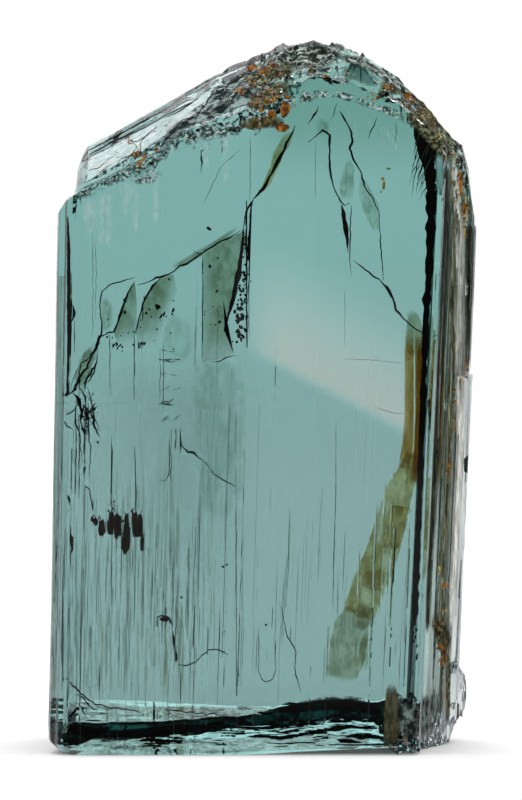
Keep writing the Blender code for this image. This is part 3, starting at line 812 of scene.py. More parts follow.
    (-4.4, -3.9, 0.05, 0.1, -9.35, (-9.35, 2.55, 0.03), (-9.15, 2.4, 0.05), (-9.1, 2.1, 0.04),
     (-8.95, 1.95, 0.02)),
    (-4.4, -3.9, 0.05, 0.1, -5, (-5, 2.3, 0.02), (-4.2, 2.25, 0.05), (-3.4, 2.15, 0.03), (-2.6, 2.1, 0.05),
     (-1.9, 2, 0.03)),
)
UPRIGHT_CRACKS = (  # x, upper and lower end, width
    (-5.05, 20.9, 17.3, 0.03), (-5.22, 20.6, 17.9, 0.024), (-4.46, 16.5, 15.5, 0.06),
    (-4.2, 16.5, 15.3, 0.07), (-4.66, 16.5, 13.9, 0.03), (-8.75, 20.6, 19.9, 0.03), (-9.05, 17, 15.2, 0.05),
    (-8.85, 17.6, 16.2, 0.04), (-9.45, 17.4, 13.2, 0.03), (-9.3, 17.3, 13, 0.04), (-8.6, 26.5, 21.2, 0.014),
    (-8.45, 26, 22, 0.012),
)


def specks():
    """Dark dots beside the cracks, as (x, z, size): the densest lie along the steep crack on the left."""
    made = [(random.gauss(-3.05, 0.05), random.uniform(20.3, 24.4), 0.5) for _ in range(9)]
    heights = [random.uniform(20.8, 24.4) for _ in range(70)]
    made += [(random.gauss(-1.2 + 0.09 * (z - 22), 0.15), z, 1.2) for z in heights]
    made += [(random.gauss(-0.95, 0.05), random.uniform(24.0, 26.5), 0.8) for _ in range(14)]
    made += [(random.uniform(-2.7, -2.2), random.uniform(21.5, 25.2), 1.0) for _ in range(7)]
    made += [(random.uniform(-7.9, -4.4), random.uniform(20.3, 23.0), 0.7) for _ in range(30)]
    middles = [x for x in (-7.5, -7.3, -6.3, -6.1) for _ in range(5)]
    made += [(x + random.gauss(0, 0.12), 20.75 + random.gauss(0, 0.1), 1.2) for x in middles]
    made += [(random.gauss(-8.9, 0.3), random.uniform(15.8, 17.9), 1.0) for _ in range(16)]
    made += [(random.gauss(-7.6, 0.25), random.uniform(12.2, 12.9), 0.8) for _ in range(12)]
    return made


def tick(bm):
    """A short slanting crack, in a column on the left or in the broken zone beside the left bevel."""
    in_column = random.random() < 0.5
    if in_column:
        x = random.gauss(-5.0, 0.22)
        z = random.choice((17.0, 17.8, 18.6, 19.3, 20.0, 20.4)) + random.gauss(0, 0.08)
    else:
        x, z = random.gauss(-9.25, 0.3), random.uniform(16.6, 18.4)
    size = random.uniform(0.15, 0.45)
    slope = random.uniform(-0.5, 0.3) if in_column else random.uniform(-3.0, 3.0)
    wide = random.uniform(0.04, 0.1)
    ribbon(bm, ((x, z, wide), (x + size, z - size * slope, wide)), -4.6, -4.35, 0, 0.08, z)


def fractures():
    """Open cracks: thin dark surfaces that run back into the crystal."""
    bm = bmesh.new()
    for near, far, sway, jag, seed, *line in CRACKS:
        ribbon(bm, line, near, far, sway, jag, seed)
    random.seed(21)
    for x, z, big in specks():
        size = big * random.uniform(0.025, 0.07)
        place = (x, random.uniform(-4.6, -4.3), z)
        radii = (size, size * 0.7, size * random.uniform(0.8, 2.0))
        lump(bm, place, radii, random.uniform(-0.6, 0.6), x, 1, 0.8)
    for _ in range(64):
        tick(bm)
    for x, high, low, wide in UPRIGHT_CRACKS:
        line = ((x, high, wide), (x + 0.02, (high + low) / 2, wide), (x - 0.01, low, wide))
        ribbon(bm, line, -4.6, -4.3, 0.02, 0.04, x)
    for k in range(3):
        line = ((-9.4 + 0.3 * k, 17.9, 0.04), (-9.5 + 0.32 * k, 17.0, 0.07),
                (-9.25 + 0.25 * k, 16.2 - 0.2 * k, 0.05), (-9.15 + 0.2 * k, 14.8 - 0.5 * k, 0.02))
        ribbon(bm, line, -4.6, -4.1, 0.02, 0.09, 30 + k)
    look = (0.003, 0.006, 0.005), (0.012, 0.014, 0.008), (3, 3, 3), 0.5
    inclusion(bm, "fractures", solid_material("dark_fracture", *look))


def growth_tubes():
    """Hair-fine upright tubes, mostly low on the left."""
    bm = bmesh.new()
    random.seed(31)
    for i in range(165):
        left = random.random() < 0.8
        base = random.uniform(-10.2, -3.4) if left else random.uniform(-3.4, 7.0)
        low = random.uniform(1.8, 9.0)
        high = low + random.uniform(0.8, 6.0)
        y = random.choice((random.uniform(-4.6, -4.0), random.uniform(-3.0, 4.3)))
        wide = random.choice((0.01, 0.014, 0.02, 0.03))
        line = []
        for k in range(7):
            z = low + (high - low) * k / 6
            line.append((leaned(base, z), z, wide * (0.4 + 0.6 * math.sin(math.pi * k / 6))))
        ribbon(bm, line, y, y + 0.12, 0.0, 0.012, i)
    look = (0.03, 0.045, 0.03), (0.075, 0.08, 0.05), (2, 2, 0.8), 0.6
    inclusion(bm, "growth_tubes", solid_material("tube_shadow", *look))


# painted shade: the black film below darkens the band along the groove
GROOVE_LINE = (  # the black film along the deep groove on the right: x, z, width
    (8.59, 28.9, 0.4), (8.585, 28.36, 0.46), (8.565, 27.1, 0.44), (8.49, 24.6, 0.38), (8.44, 23.6, 0.34),
    (8.35, 22.9, 0.34), (8.27, 20.3, 0.32), (8.17, 17.7, 0.26), (8.09, 14.7, 0.22), (7.96, 11.6, 0.25),
    (7.86, 9, 0.3), (7.78, 7.5, 0.33), (7.78, 6.2, 0.24),
)
FEATHER_LINE = (  # the broader film at its top: x, z, half-width
    (7.55, 31.75, 0.08), (7.75, 31.45, 0.16), (8.05, 31, 0.36), (8.2, 30.5, 0.42), (8.33, 30, 0.36),
    (8.42, 29.4, 0.3), (8.46, 28.7, 0.22), (8.48, 28.3, 0.16),
)
FEATHER_EDGE = ((28.9, 8.2), (30.0, 7.95), (30.6, 7.8), (31.3, 7.7))  # x of its left edge at heights z


def barb(bm, x, z, reach, run, drop, widths, y, depth, jag, seed):
    """A splinter that leaves (x, z) down to the left: its run and drop at the middle and at the end."""
    line = [(x, z, widths[0])]
    for across, down, wide in zip(run, drop, widths[1:]):
        line.append((x - reach * across, z - reach * down, wide))
    ribbon(bm, line, y, y + depth, 0.0, jag, seed)


def black_band():
    """Painted shade: a black film along the deep groove on the right, splintering into a feather at its top.
    """
    bm = bmesh.new()
    ribbon(bm, GROOVE_LINE, 3.6, 3.75, 0.0, 0.03, 41)
    random.seed(43)
    for _ in range(16):
        x, z = random.gauss(7.8, 0.07), random.uniform(4.4, 6.4)
        lump(bm, (x, 3.6, z), (random.uniform(0.02, 0.06), 0.04, random.uniform(0.05, 0.16)), 0.1, z, 1, 0.8)
    veil(bm, FEATHER_LINE, -1.5, 0.1, 0.35, 3, 0.6, 3.0, 0.04)
    for i in range(20):
        z = random.uniform(28.9, 31.3)
        x = along(FEATHER_EDGE, z) + random.uniform(-0.05, 0.2)
        reach = random.uniform(0.25, 0.8) * (1.0 if z < 30.6 else 0.6)
        slant = random.uniform(0.9, 3.4)
        y = random.uniform(-1.9, -1.2)
        barb(bm, x, z, reach, (0.4, 0.62), (slant * 0.5, slant), (0.06, 0.04, 0.012), y, 0.1, 0.04, i)
    look = (0.002, 0.003, 0.003), (0.006, 0.008, 0.006), (3, 3, 1), 0.5
    inclusion(bm, "black_band", solid_material("black_painted_shade", *look))
    bm = bmesh.new()
    for i in range(9):
        x, z = random.uniform(7.9, 9.1), random.uniform(29.9, 31.9)
        reach = random.uniform(0.4, 1.2)
        barb(bm, x, z, reach, (0.35, 0.55), (0.6, 1.3), (0.03, 0.04, 0.012), -1.95, 0.15, 0.03, i + 60)
    look = (0.2, 0.23, 0.17), (0.42, 0.47, 0.4), (3, 3, 1), 0.5
    inclusion(bm, "pale_needles", solid_material("pale_needle", *look))


FINGERS = (  # the finger-like inclusions on the left: x, z, half-width, half-height
    (-8.62, 11.92, 0.1, 0.1), (-8.45, 11.8, 0.1, 0.16), (-8.18, 11.52, 0.16, 0.4), (-7.68, 11.7, 0.15, 0.58),
    (-7.38, 11.62, 0.16, 0.62), (-6.92, 10.95, 0.19, 0.72), (-6.9, 11.9, 0.11, 0.28),
    (-6.5, 11.66, 0.15, 0.64), (-6.24, 11.6, 0.15, 0.58), (-6.12, 10.72, 0.09, 0.38),
)
DOTS = (  # single dark dots: the same
    (0.13, 6.6, 0.06, 0.06), (-4.75, 24.05, 0.06, 0.06), (-1.85, 9.65, 0.06, 0.06), (-2.05, 9.55, 0.06, 0.06),
    (-4.15, 8, 0.06, 0.06), (-5.34, 22.66, 0.14, 0.13), (-6.97, 23, 0.09, 0.09), (-6.97, 22.4, 0.07, 0.09),
    (-5.9, 22.35, 0.07, 0.06), (-4.55, 22.5, 0.06, 0.13), (-5.15, 22.2, 0.05, 0.12), (-5, 22.3, 0.04, 0.12),
    (-2.75, 26.6, 0.12, 0.08), (-2.7, 24.7, 0.07, 0.09),
)


def dark_clusters():
    """Black finger-like inclusions on the left, and dots."""
    bm = bmesh.new()
    random.seed(51)
    for i, (x, z, wide, tall) in enumerate(FINGERS):
        place = (x, -4.35 + 0.03 * (i % 3), z)
        lump(bm, place, (wide, 0.08, tall), random.uniform(-0.06, 0.06), i * 3.1, 3, 0.35, 0.62)
        for _ in range(3):
            place = (x + random.uniform(-0.15, 0.15), -4.35, z + tall * random.uniform(0.9, 1.4))
            radii = (random.uniform(0.02, 0.05), 0.04, random.uniform(0.03, 0.12))
            lump(bm, place, radii, random.uniform(-0.5, 0.5), random.random() * 9, 1, 0.8)
    lump(bm, (-5.0, -4.4, 6.9), (0.2, 0.07, 0.13), 0.0, 4.4, 3, 0.5, 0.7)
    for x, z, wide, tall in DOTS:
        lump(bm, (x, -4.42, z), (wide, 0.05, tall), 0.4, x, 2, 0.7)
    look = (0.006, 0.005, 0.004), (0.024, 0.014, 0.007), (4, 4, 2), 0.6
    inclusion(bm, "dark_clusters", solid_material("dark_cluster", *look))


# Films seen face on: the piece, what its material gets, then each veil's depth y, tilt, raggedness, seed,
# softness and taper, and its (x, z, half-width) points.
VEILS = (
    ("amber_veil",
     ((0.64, 0.38, 0.11), (0.48, 0.22, 0.03), (2.6, 1, 0.4), (0.25, 0.5), 0.8, (0.12, 0.9), 0.5), (
        (1.2, 0.2, 0.04, 3, 0.15, 6, (7.43, 21.9, 0.22), (7.43, 20, 0.25), (7.43, 17, 0.25),
         (7.36, 15.6, 0.3), (7.2, 14.4, 0.36), (7.05, 13.6, 0.3)),
        (1.3, 0.2, 0.04, 3.5, 0.15, 6, (7.96, 21.9, 0.26), (7.96, 20, 0.26), (7.96, 17, 0.26),
         (7.9, 15.4, 0.27), (7.78, 14.2, 0.28), (7.6, 13, 0.2)),
        (2.2, -0.2, 0.2, 4, 0.3, 3, (7.98, 20.8, 0.2), (7.97, 17, 0.22), (7.85, 14.2, 0.22),
         (7.7, 13.2, 0.1)),
    )),
    ("olive_band",
     ((0.76, 0.64, 0.35), (0.44, 0.34, 0.12), (0.8, 1, 0.5), (0.3, 0.56), 0.6, (0.12, 0.4), 0.25), (
        (0.6, 0.3, 0.12, 5, 0.15, 4, (7.62, 15.4, 0.3), (7.42, 14.4, 0.5), (7.05, 13.5, 0.66),
         (6.75, 12.6, 0.74), (6.5, 11.6, 0.8), (6.2, 10.5, 0.88), (5.87, 9.6, 0.87), (5.4, 8.5, 0.88),
         (4.98, 7.3, 0.88), (4.75, 6.6, 0.9)),
        (0.9, 0.1, 0.3, 5.5, 0.6, 1, (6.95, 12.5, 0.45), (6.75, 11.6, 0.65), (6.5, 10.7, 0.65),
         (6.4, 10.2, 0.45)),
        (0.9, 0.1, 0.3, 5.4, 0.6, 1, (5.8, 9.2, 0.5), (5.65, 8.7, 0.65), (5.4, 8.1, 0.5)),
        (-4.3, 0.1, 0.5, 9.5, 1, 3, (1.5, 31.6, 0.3), (1, 30.8, 0.34), (0.6, 29.9, 0.3), (0.2, 28.9, 0.24),
         (-0.3, 28.2, 0.12)),
    )),
    ("olive_veil",
     ((0.68, 0.66, 0.52), (0.46, 0.46, 0.32), (0.9, 1.1, 0.6), (0.25, 0.6), 0.6, (0.12, 0.5), 0.4), (
        (0.6, 0.3, 0.2, 5.2, 0.2, 3, (4.9, 7.4, 0.6), (4.5, 6.3, 0.95), (4.3, 5, 1), (4.05, 3.9, 0.85),
         (4, 3.4, 0.75)),
        (0.8, 0.1, 0.15, 5.9, 0.3, 4, (7.3, 22.6, 0.2), (7.6, 22.1, 0.36), (7.7, 21.4, 0.46),
         (7.7, 20.6, 0.48), (7.7, 19.8, 0.3)),
        (-0.8, 0.1, 0.2, 6, 0.4, 3, (8.5, 22.4, 0.12), (8.55, 20.5, 0.16), (8.5, 18, 0.16), (8.4, 16, 0.12)),
        (0.9, 0.1, 0.3, 5.6, 0.5, 3, (5.3, 7.5, 0.5), (5, 6.6, 0.65), (4.8, 5.9, 0.4)),
        (0.9, 0.1, 0.3, 5.7, 0.5, 3, (5.2, 6, 0.2), (5.1, 5, 0.25), (5.2, 4, 0.2)),
        (-1, 0.1, 0.3, 5.8, 0.5, 3, (8.55, 20, 0.12), (8.4, 15, 0.14), (8.25, 10, 0.14), (8.2, 8, 0.1)),
    )),
    ("left_veil",
     ((0.5, 0.53, 0.41), (0.3, 0.32, 0.21), (0.9, 1.1, 0.6), (0.3, 0.6), 0.7, (0.1, 0.95), 0.5), (
        (-4.2, 0.1, 0.4, 13, 0.5, 3, (-8.4, 20.9, 0.25), (-8.8, 20.2, 0.4), (-9.1, 19.3, 0.45),
         (-9.4, 18.2, 0.3)),
        (-4.4, 0.1, 0.4, 9, 0.7, 3, (-1.1, 26.8, 0.1), (-2.2, 26, 0.2), (-3.6, 25.1, 0.25),
         (-4.8, 24.5, 0.25)),
    )),
    ("smoke_veil",
     ((0.82, 0.82, 0.74), (0.5, 0.56, 0.48), (1.6, 1.6, 0.9), (0.3, 0.55), 0.45, (0.15, 0.7), 0.5), (
        (-3.9, 0.2, 0.3, 10, 0.3, 3, (4.3, 30.3, 0.08), (4.3, 29.6, 0.3), (4.2, 28.8, 0.4), (4.2, 28.1, 0.4),
         (4.2, 27.9, 0.3)),
        (-3.7, 0.2, 0.3, 11, 0.3, 3, (4.9, 29.3, 0.1), (5.1, 28.5, 0.35), (5.4, 27.7, 0.45), (5.6, 26.9, 0.3),
         (5.7, 26.3, 0.1)),
        (-4.1, 0.3, 0.4, 12, 0.7, 3, (2.7, 32.3, 0.3), (3, 31.7, 0.45), (3.2, 31, 0.2)),
        (-4.3, 0.1, 0.3, 14, 0.8, 3, (-8.1, 23.4, 0.3), (-7.9, 22.7, 0.45), (-7.9, 21.8, 0.4),
         (-8, 21.2, 0.2)),
        (-4.2, 0.1, 0.2, 13.2, 0.8, 3, (6.66, 32.3, 0.05), (6.68, 31.4, 0.1), (6.55, 30.3, 0.05)),
    )),
    ("grey_cloud",
     ((0.86, 0.9, 0.86), (0.68, 0.74, 0.69), (1.1, 1.1, 0.35), (0.3, 0.6), 0.5, (0.1, 0.8), 0.4), (
        (-2, 0.1, 0.3, 14.5, 0.8, 4, (-4.7, 22.6, 0.5), (-4.4, 21.4, 1), (-4.2, 20.3, 1.1), (-4, 19.4, 0.8)),
        (-1, 0.1, 0.4, 15.5, 0.5, 4, (-2.4, 20.3, 1), (-2.5, 18.8, 1.5), (-2.5, 17.4, 1.5), (-2.3, 15.8, 1.3),
         (-2.2, 13.6, 1.1), (-2.3, 11.5, 0.8)),
    )),
)
# The same for the base: base_shadow is painted shade, near-black films over its dark band; base_haze holds
# hazy films.
BASE_VEILS = (
    # painted shade: near-black films that darken the dark band of the hollow base
    ("base_shadow",
     ((0.06, 0.08, 0.08), (0.012, 0.02, 0.024), (5, 1, 1.6), (0.2, 0.42), 0.4, (0.1, 0.45), 0.8), (
        (-4.5, 0.05, 0.35, 16, 0.3, 3, (-10, 1.45, 0.2), (-9.7, 1.4, 0.34), (-8.7, 1.1, 0.32), (-7.2, 1, 0.3),
         (-6, 1.15, 0.26), (-4.6, 1.35, 0.22), (-3, 1.4, 0.19), (-1.8, 1.75, 0.1)),
        (-4.5, 0.05, 0.45, 17, 0.9, 3, (-0.4, 2.1, 0.06), (0.8, 2.3, 0.2), (2, 2.45, 0.36), (3.4, 2.6, 0.46),
         (4.8, 2.55, 0.42), (5.6, 2.3, 0.36), (6.1, 1.9, 0.25)),
        (-3.6, 0.05, 0.3, 18, 0.4, 3, (7.2, 2.5, 0.3), (7.2, 2, 0.5), (7.2, 1.4, 0.5), (7.2, 0.9, 0.4)),
    )),
    ("base_haze",
     ((0.82, 0.71, 0.7), (0.5, 0.44, 0.42), (1.4, 1, 5), (0.3, 0.55), 0.5, (0.05, 0.4), 0.3), (
        (-4.2, 0.05, 0.1, 19, 0.3, 3, (-10.2, 2.2, 0.5), (-8.5, 2.15, 0.62), (-6, 1.95, 0.55),
         (-3.5, 1.95, 0.5), (-1, 2, 0.4)),
        (-4.3, 0.05, 0.1, 20, 0.5, 3, (-5.2, 2.2, 0.3), (-3.5, 2.15, 0.42), (-1, 2.1, 0.35), (0.5, 2.3, 0.2)),
        (-4.2, 0.05, 0.1, 21, 0.4, 3, (-10.2, 0.5, 0.4), (-8, 0.4, 0.4), (-5, 0.4, 0.4), (0, 0.55, 0.4),
         (5.5, 0.78, 0.4)),
    )),
)
LEFT_PANES = (  # dull films that end at the cracks on the left: depth y, and (x, z, fade) points
    (-4.2, (-3.05, 25.25, 0.7), (-2.2, 25.85, 1), (-1.05, 26.45, 1), (-1.15, 25.3, 1), (-1.35, 24, 1),
     (-1.7, 22.5, 1), (-1.95, 21.4, 0.7), (-1.5, 20.3, 0.5), (-2.3, 20, 0.5), (-3.05, 19.9, 0.5),
     (-3.06, 22.5, 0.5)),
    (-4.3, (-6.5, 23.95, 1), (-6.8, 23.4, 1), (-7.1, 22.7, 1), (-7.35, 21.9, 1), (-7.55, 21.4, 1),
     (-7.3, 20.7, 0.2), (-6.6, 20.5, 0.1), (-6.42, 21.4, 0.5), (-6.4, 22.8, 0.6), (-6.42, 23.5, 0.8)),
    (-4.3, (-5.2, 24.15, 1), (-5.6, 23.7, 1), (-6, 23, 1), (-6.3, 22.1, 1), (-6.42, 21.3, 0.6),
     (-6.3, 20.4, 0.1), (-5.4, 20.5, 0.1), (-5.1, 21.6, 0.3), (-4.7, 22.6, 0.2), (-4.3, 23.4, 0.2),
     (-4.55, 24.3, 0.7)),
)
TONGUE_LINE = (  # x, z, half-width
    (6.47, 3.65, 0.14), (6.47, 3.3, 0.3), (6.47, 2.4, 0.38), (6.45, 1.4, 0.4), (6.45, 0.6, 0.42),
    (6.45, 0.35, 0.3),
)


def veils(table):
    """Healed cracks, stains and painted shade seen face on: each piece of a table, from its veils and panes.
    """
    for name, look, sheets in table:
        bm = bmesh.new()
        for y, *outline in LEFT_PANES if name == "left_veil" else ():
            pane(bm, outline, y)
        for y, tilt, ragged, seed, soft, taper, *line in sheets:
            veil(bm, line, y, tilt, ragged, seed, soft, taper)
        inclusion(bm, name, stain_and_painted_shade_material(name, *look))


def olive_tongue():
    """A dull flake that stands in the base on the right."""
    bm = bmesh.new()
    veil(bm, TONGUE_LINE, -4.45, 0.05, 0.06, 15, 0.12, 3, 0.05)
    look = (0.13, 0.13, 0.065), (0.25, 0.25, 0.14), (3, 3, 0.8), (0, 0.2), 0.9
    inclusion(bm, "olive_tongue", crust_and_painted_light_material("olive_tongue", *look))


FLANK_OUTLINE = (  # the stained right flank at the base: x, y
    (8.25, -1.75), (8.32, -1.45), (8.5, -1.25), (8.55, -0.9), (8.72, -0.8), (8.76, -0.4), (8.94, -0.33),
    (8.98, 0.05), (9.16, 0.13), (9.2, 0.55), (9.38, 0.7), (9.45, 1.3),
)
LEFT_OUTLINE = ((-10.7, -1), (-10.78, -2.4), (-10.8, -3.3), (-10.7, -3.98), (-10.44, -4.22))


def films():
    """Stains that lie along the upright faces: streaks behind the left half, and tints on both sides."""
    bm = bmesh.new()
    film(bm, ((-2.5, 4.7), (-10.0, 4.7)), 1.6, 18.5, 0.1, soft=5.0)
    film(bm, ((-10.0, -4.62), (-4.0, -4.62)), 1.8, 8.5, 0.03)
    look = (0.7, 0.67, 0.55), (0.34, 0.3, 0.19), (4.5, 1, 0.16), (0.52, 0.68), 0.0, (0.3, 1.3), 0.5
    inclusion(bm, "back_streaks", stain_and_painted_shade_material("streak_film", *look))
    bm = bmesh.new()
    film(bm, FLANK_OUTLINE, 1.4, 28.6, 0.08)
    look = (0.66, 0.62, 0.48), (0.2, 0.19, 0.13), (6, 9, 0.14), (0.42, 0.6), 0.1, (0.0, 0.3), 0.2
    inclusion(bm, "flank_film", stain_and_painted_shade_material("flank_stain", *look))
    bm = bmesh.new()
    film(bm, LEFT_OUTLINE, 1.2, 25.0, 0.1)
    look = (0.86, 0.76, 0.72), (0.42, 0.36, 0.34), (6, 8, 0.2), (0.4, 0.62), 0.45, (0.0, 0.3), 0.2
    inclusion(bm, "left_film", stain_and_painted_shade_material("left_stain", *look))


ETCHED_LINES = (  # along the broken upper edge of the front face: half-width, and (x, z) points
    (0.32, (-9.3, 28.15), (-8.3, 28.75), (-6.8, 29.45), (-5.5, 30.1), (-4.6, 30.75)),
    (0.42, (-5, 30.6), (-3.7, 31.2), (-2.4, 31.5), (-1.2, 31.7), (0, 32.3), (0.6, 32.8)),
    (0.22, (0.4, 32.4), (1.5, 33.3), (3.6, 33.4), (5.2, 32.9), (6.6, 32.4), (7.6, 31.8)),
    (0.3, (0.9, 32.6), (1.8, 33.1), (2.9, 33.4)),
    (0.4, (-6.7, 29.05), (-5.9, 29.2), (-5.1, 29.4)),
)
DRIPS = (  # upright tongues below that edge: x, upper end, length
    (-3.1, 31, 0.9), (-2.75, 31, 0.6), (-2.1, 31.3, 0.8), (-3.5, 30.9, 0.5), (-1.5, 31.4, 0.5),
)
# Crusts and painted light and shade on the roof, the flank and the base: the piece, its lift off the surface,
# what its material gets, and each strip's half-width and (x, z) points.
CRUSTS_AND_PAINTED_LIGHT = (
    # painted highlight: a near-white skin over the smooth left roof facet
    ("white_facet", 0.006,
     ((0.6, 0.74, 0.74), (0.94, 1, 1), (0.5, 1.6, 0.8), (0.2, 0.5), 0.5, (0.4, 0.6), 3), (
        (0.55, (-9.2, 29.5), (-7.2, 30.5), (-5.2, 31.6), (-3.8, 32.6), (-2.6, 33.5)),
    )),
    ("roof_pane", 0.01,
     ((0.1, 0.25, 0.22), (0.22, 0.42, 0.39), (0.5, 0.5, 0.5), (0, 0.2), 0.75, (0.3, 0.7), 1), (
        (0.4, (3.75, 34.2), (4.5, 34.5), (5.2, 34.25), (5.9, 33.85)),
        (0.2, (8.84, 30.6), (8.87, 29.5), (8.87, 28.2)),
    )),
    # painted shade and glints: dark grey with pale grain on the stepped facet
    ("grey_facet", 0.012,
     ((0.022, 0.036, 0.033), (0.42, 0.54, 0.52), (0.45, 2.4, 0.5), (0.3, 0.4), 1, (0.48, 0.62), 2.4), (
        (0.3, (-5.2, 30.85), (-4, 31.85), (-1.7, 32.8), (0.2, 33.4)),
        (0.36, (-3.9, 32.1), (-1.8, 33.3), (0, 33.9), (0.8, 34.2)),
        (0.32, (-2.7, 33.3), (-0.9, 34.2), (0.4, 34.8)),
    )),
    # painted glints and shade: dark with silver-grey grain on the broken crest
    ("crest_crust", 0.012,
     ((0.018, 0.026, 0.02), (0.5, 0.6, 0.56), (1.3, 2.2, 1.8), (0.26, 0.4), 1, (0.49, 0.62), 2), (
        (0.42, (0.3, 35.1), (1.8, 35.5), (3.2, 35.5), (4.1, 35.3)),
        (0.4, (1.2, 34.9), (2.6, 35.1), (3.7, 35.1)),
        (0.3, (2, 34.4), (3.2, 34.6)),
        (0.24, (3.8, 35.3), (4.7, 35.1), (5.5, 34.75), (6.2, 34.3), (6.9, 33.8), (7.6, 33.2), (8.3, 32.5)),
        (0.22, (8.3, 32.5), (9, 31.7), (9.6, 30.8), (10.1, 29.8), (10.3, 28.8)),
    )),
    ("olive_crust", 0.014,
     ((0.03, 0.03, 0.013), (0.2, 0.22, 0.135), (1.7, 2, 2), (0.24, 0.4), 1, (0.44, 0.64), 2.4), (
        (0.42, (-0.9, 32.6), (0.2, 33.2), (1.4, 34)),
        (0.4, (-0.8, 33.6), (0.4, 34.4), (1.8, 34.9)),
        (0.45, (7.2, 32.6), (8.2, 31.6), (9.1, 30.6), (9.6, 29.8)),
        (0.4, (7.5, 33.3), (8.5, 32.4), (9.3, 31.3), (9.9, 30.2)),
        (0.15, (9.3, 5), (9.5, 4), (9.48, 2.4), (9.45, 1)),
    )),
    # painted shade: near-black patches on the dark right part of the base
    ("dark_base", 0.012,
     ((0.01, 0.015, 0.012), (0.15, 0.2, 0.18), (1.2, 1.5, 1.2), (0.2, 0.42), 1, (0.44, 0.64), 2), (
        (0.62, (7.42, 2.8), (7.42, 2), (7.42, 0.7)),
        (0.45, (8.3, 2.8), (8.25, 2), (8.2, 0.8)),
    )),
    ("brown_crust", 0.016,
     ((0.03, 0.024, 0.009), (0.16, 0.13, 0.06), (1.3, 1.6, 1.6), (0.28, 0.46), 1, (0.4, 0.64), 2.4), (
        (0.32, (5.8, 34), (6.5, 33.7), (7.1, 33.4)),
        (0.32, (7, 33.5), (7.2, 33), (7.5, 32.3)),
        (0.34, (-1.2, 31.8), (0.1, 31.95), (1.1, 32)),
        (0.3, (7.6, 33.1), (8.3, 32.4), (8.9, 31.6)),
        (0.45, (8.75, 7), (9.1, 5.9), (9.45, 4.8)),
    )),
)
# Upright streaks on the right flank, the dark ones painted shade and the silver ones painted highlights:
# the piece, its lift, colours and cover, then x and half-width at each level z.
STREAK_LEVELS = (30.06, 27.2, 25.5, 23.0, 20.5, 18.0, 15.46, 11.9, 9.4, 7.9, 5.9)
STREAK_SHARES = (-1.0, -0.8, -0.3, 0.3, 0.8, 1.0)
STREAKS = (
    # painted shade: dark bands down the flank
    ("dark_streaks", 0.01, (0.01, 0.014, 0.009), (0.06, 0.07, 0.045), (0.1, 0.28),
     (9.21, 9.31, 9.26, 9.16, 9.06, 8.94, 8.8, 8.62, 8.45, 8.37, 8.34),
     (0.18, 0.28, 0.26, 0.26, 0.24, 0.22, 0.26, 0.22, 0.2, 0.18, 0.12)),
    ("olive_streaks", 0.013, (0.05, 0.06, 0.026), (0.28, 0.31, 0.21), (0.24, 0.4),
     (9.5, 9.79, 9.66, 9.61, 9.63, 9.53, 9.5, 9.32, 9.12, 9.17, 9.1), (0.22,) * 11),
    # painted highlights: silver-white glints down the flank
    ("silver_streaks", 0.016, (0.5, 0.52, 0.44), (0.92, 0.94, 0.92), (0.3, 0.44),
     (9.65, 9.95, 10.02, 10.02, 10.05, 10.1, 10.11, 9.91, 9.81, 9.7, 9.6),
     (0.2, 0.26, 0.3, 0.3, 0.32, 0.28, 0.24, 0.22, 0.22, 0.18, 0.1)),
)
# the flank's painted shade also runs down this rib and the foot
RIB_LINE = ((10.5, 27, 0.16), (10.55, 25.8, 0.22), (10.5, 23.2, 0.18), (10.46, 21, 0.15), (10.44, 19.3, 0.09))
FOOT_LINE = ((9.05, 6.6, 0.2), (9.25, 5.4, 0.3), (9.2, 4.4, 0.2))
# Hair cracks on the roof: half-width, lift and jag, then (x, z) points.
HAIR_CRACKS = (
    (0.018, 0.012, 0.08, (-9.1, 28.9), (-8.6, 29.1), (-8.1, 29.3)),
    (0.018, 0.012, 0.08, (-8.9, 29.5), (-8.4, 29.6), (-8, 30), (-7.5, 30.3)),
    (0.018, 0.012, 0.08, (-7.2, 30.1), (-6.7, 30.3), (-6.4, 30.7)),
    (0.018, 0.012, 0.08, (-6.9, 29.7), (-6.3, 30.3), (-6.2, 31), (-5.7, 31.6)),
    (0.018, 0.012, 0.08, (-6.9, 31), (-6.4, 31), (-5.9, 31.3), (-5.4, 31.8)),
    (0.018, 0.012, 0.08, (-9.3, 30), (-8.8, 30.1)),
    (0.018, 0.012, 0.08, (-6.8, 31.1), (-6.2, 30.4), (-5.9, 30)),
    (0.022, 0.012, 0.02, (-8.6, 30.75), (-7.6, 31.2), (-6.3, 31.95), (-5.2, 32.5)),
    (0.016, 0.012, 0.02, (-8.2, 30.8), (-7.2, 31.2), (-6, 31.85)),
    (0.03, 0.012, 0.03, (-4.9, 32.2), (-4, 32.7), (-3.3, 33.2)),
    (0.035, 0.03, 0, (4.93, 34.95), (4.93, 34.4), (4.94, 33.9)),
    (0.03, 0.03, 0.1, (-5.3, 30.75), (-4.9, 31.1), (-4.6, 31.2), (-4.5, 31.6), (-4.15, 31.75), (-3.85, 32.1),
     (-3.3, 32.3), (-3, 32.8), (-2.65, 33.35), (-1.9, 33.7), (-1.6, 34), (-0.9, 34.4)),
    (0.03, 0.012, 0.03, (-9, 30.25), (-7.8, 30.9), (-6, 31.7), (-4.6, 32.5), (-3.4, 33.1)),
    (0.02, 0.012, 0.02, (-8.9, 30.55), (-7.4, 31.35), (-5.8, 32.15)),
)
ROOF_FOOT = ((-9.0, 29.0), (-5.4, 31.2), (-2.8, 33.3))  # the lower edge of the smooth left facet: x, z


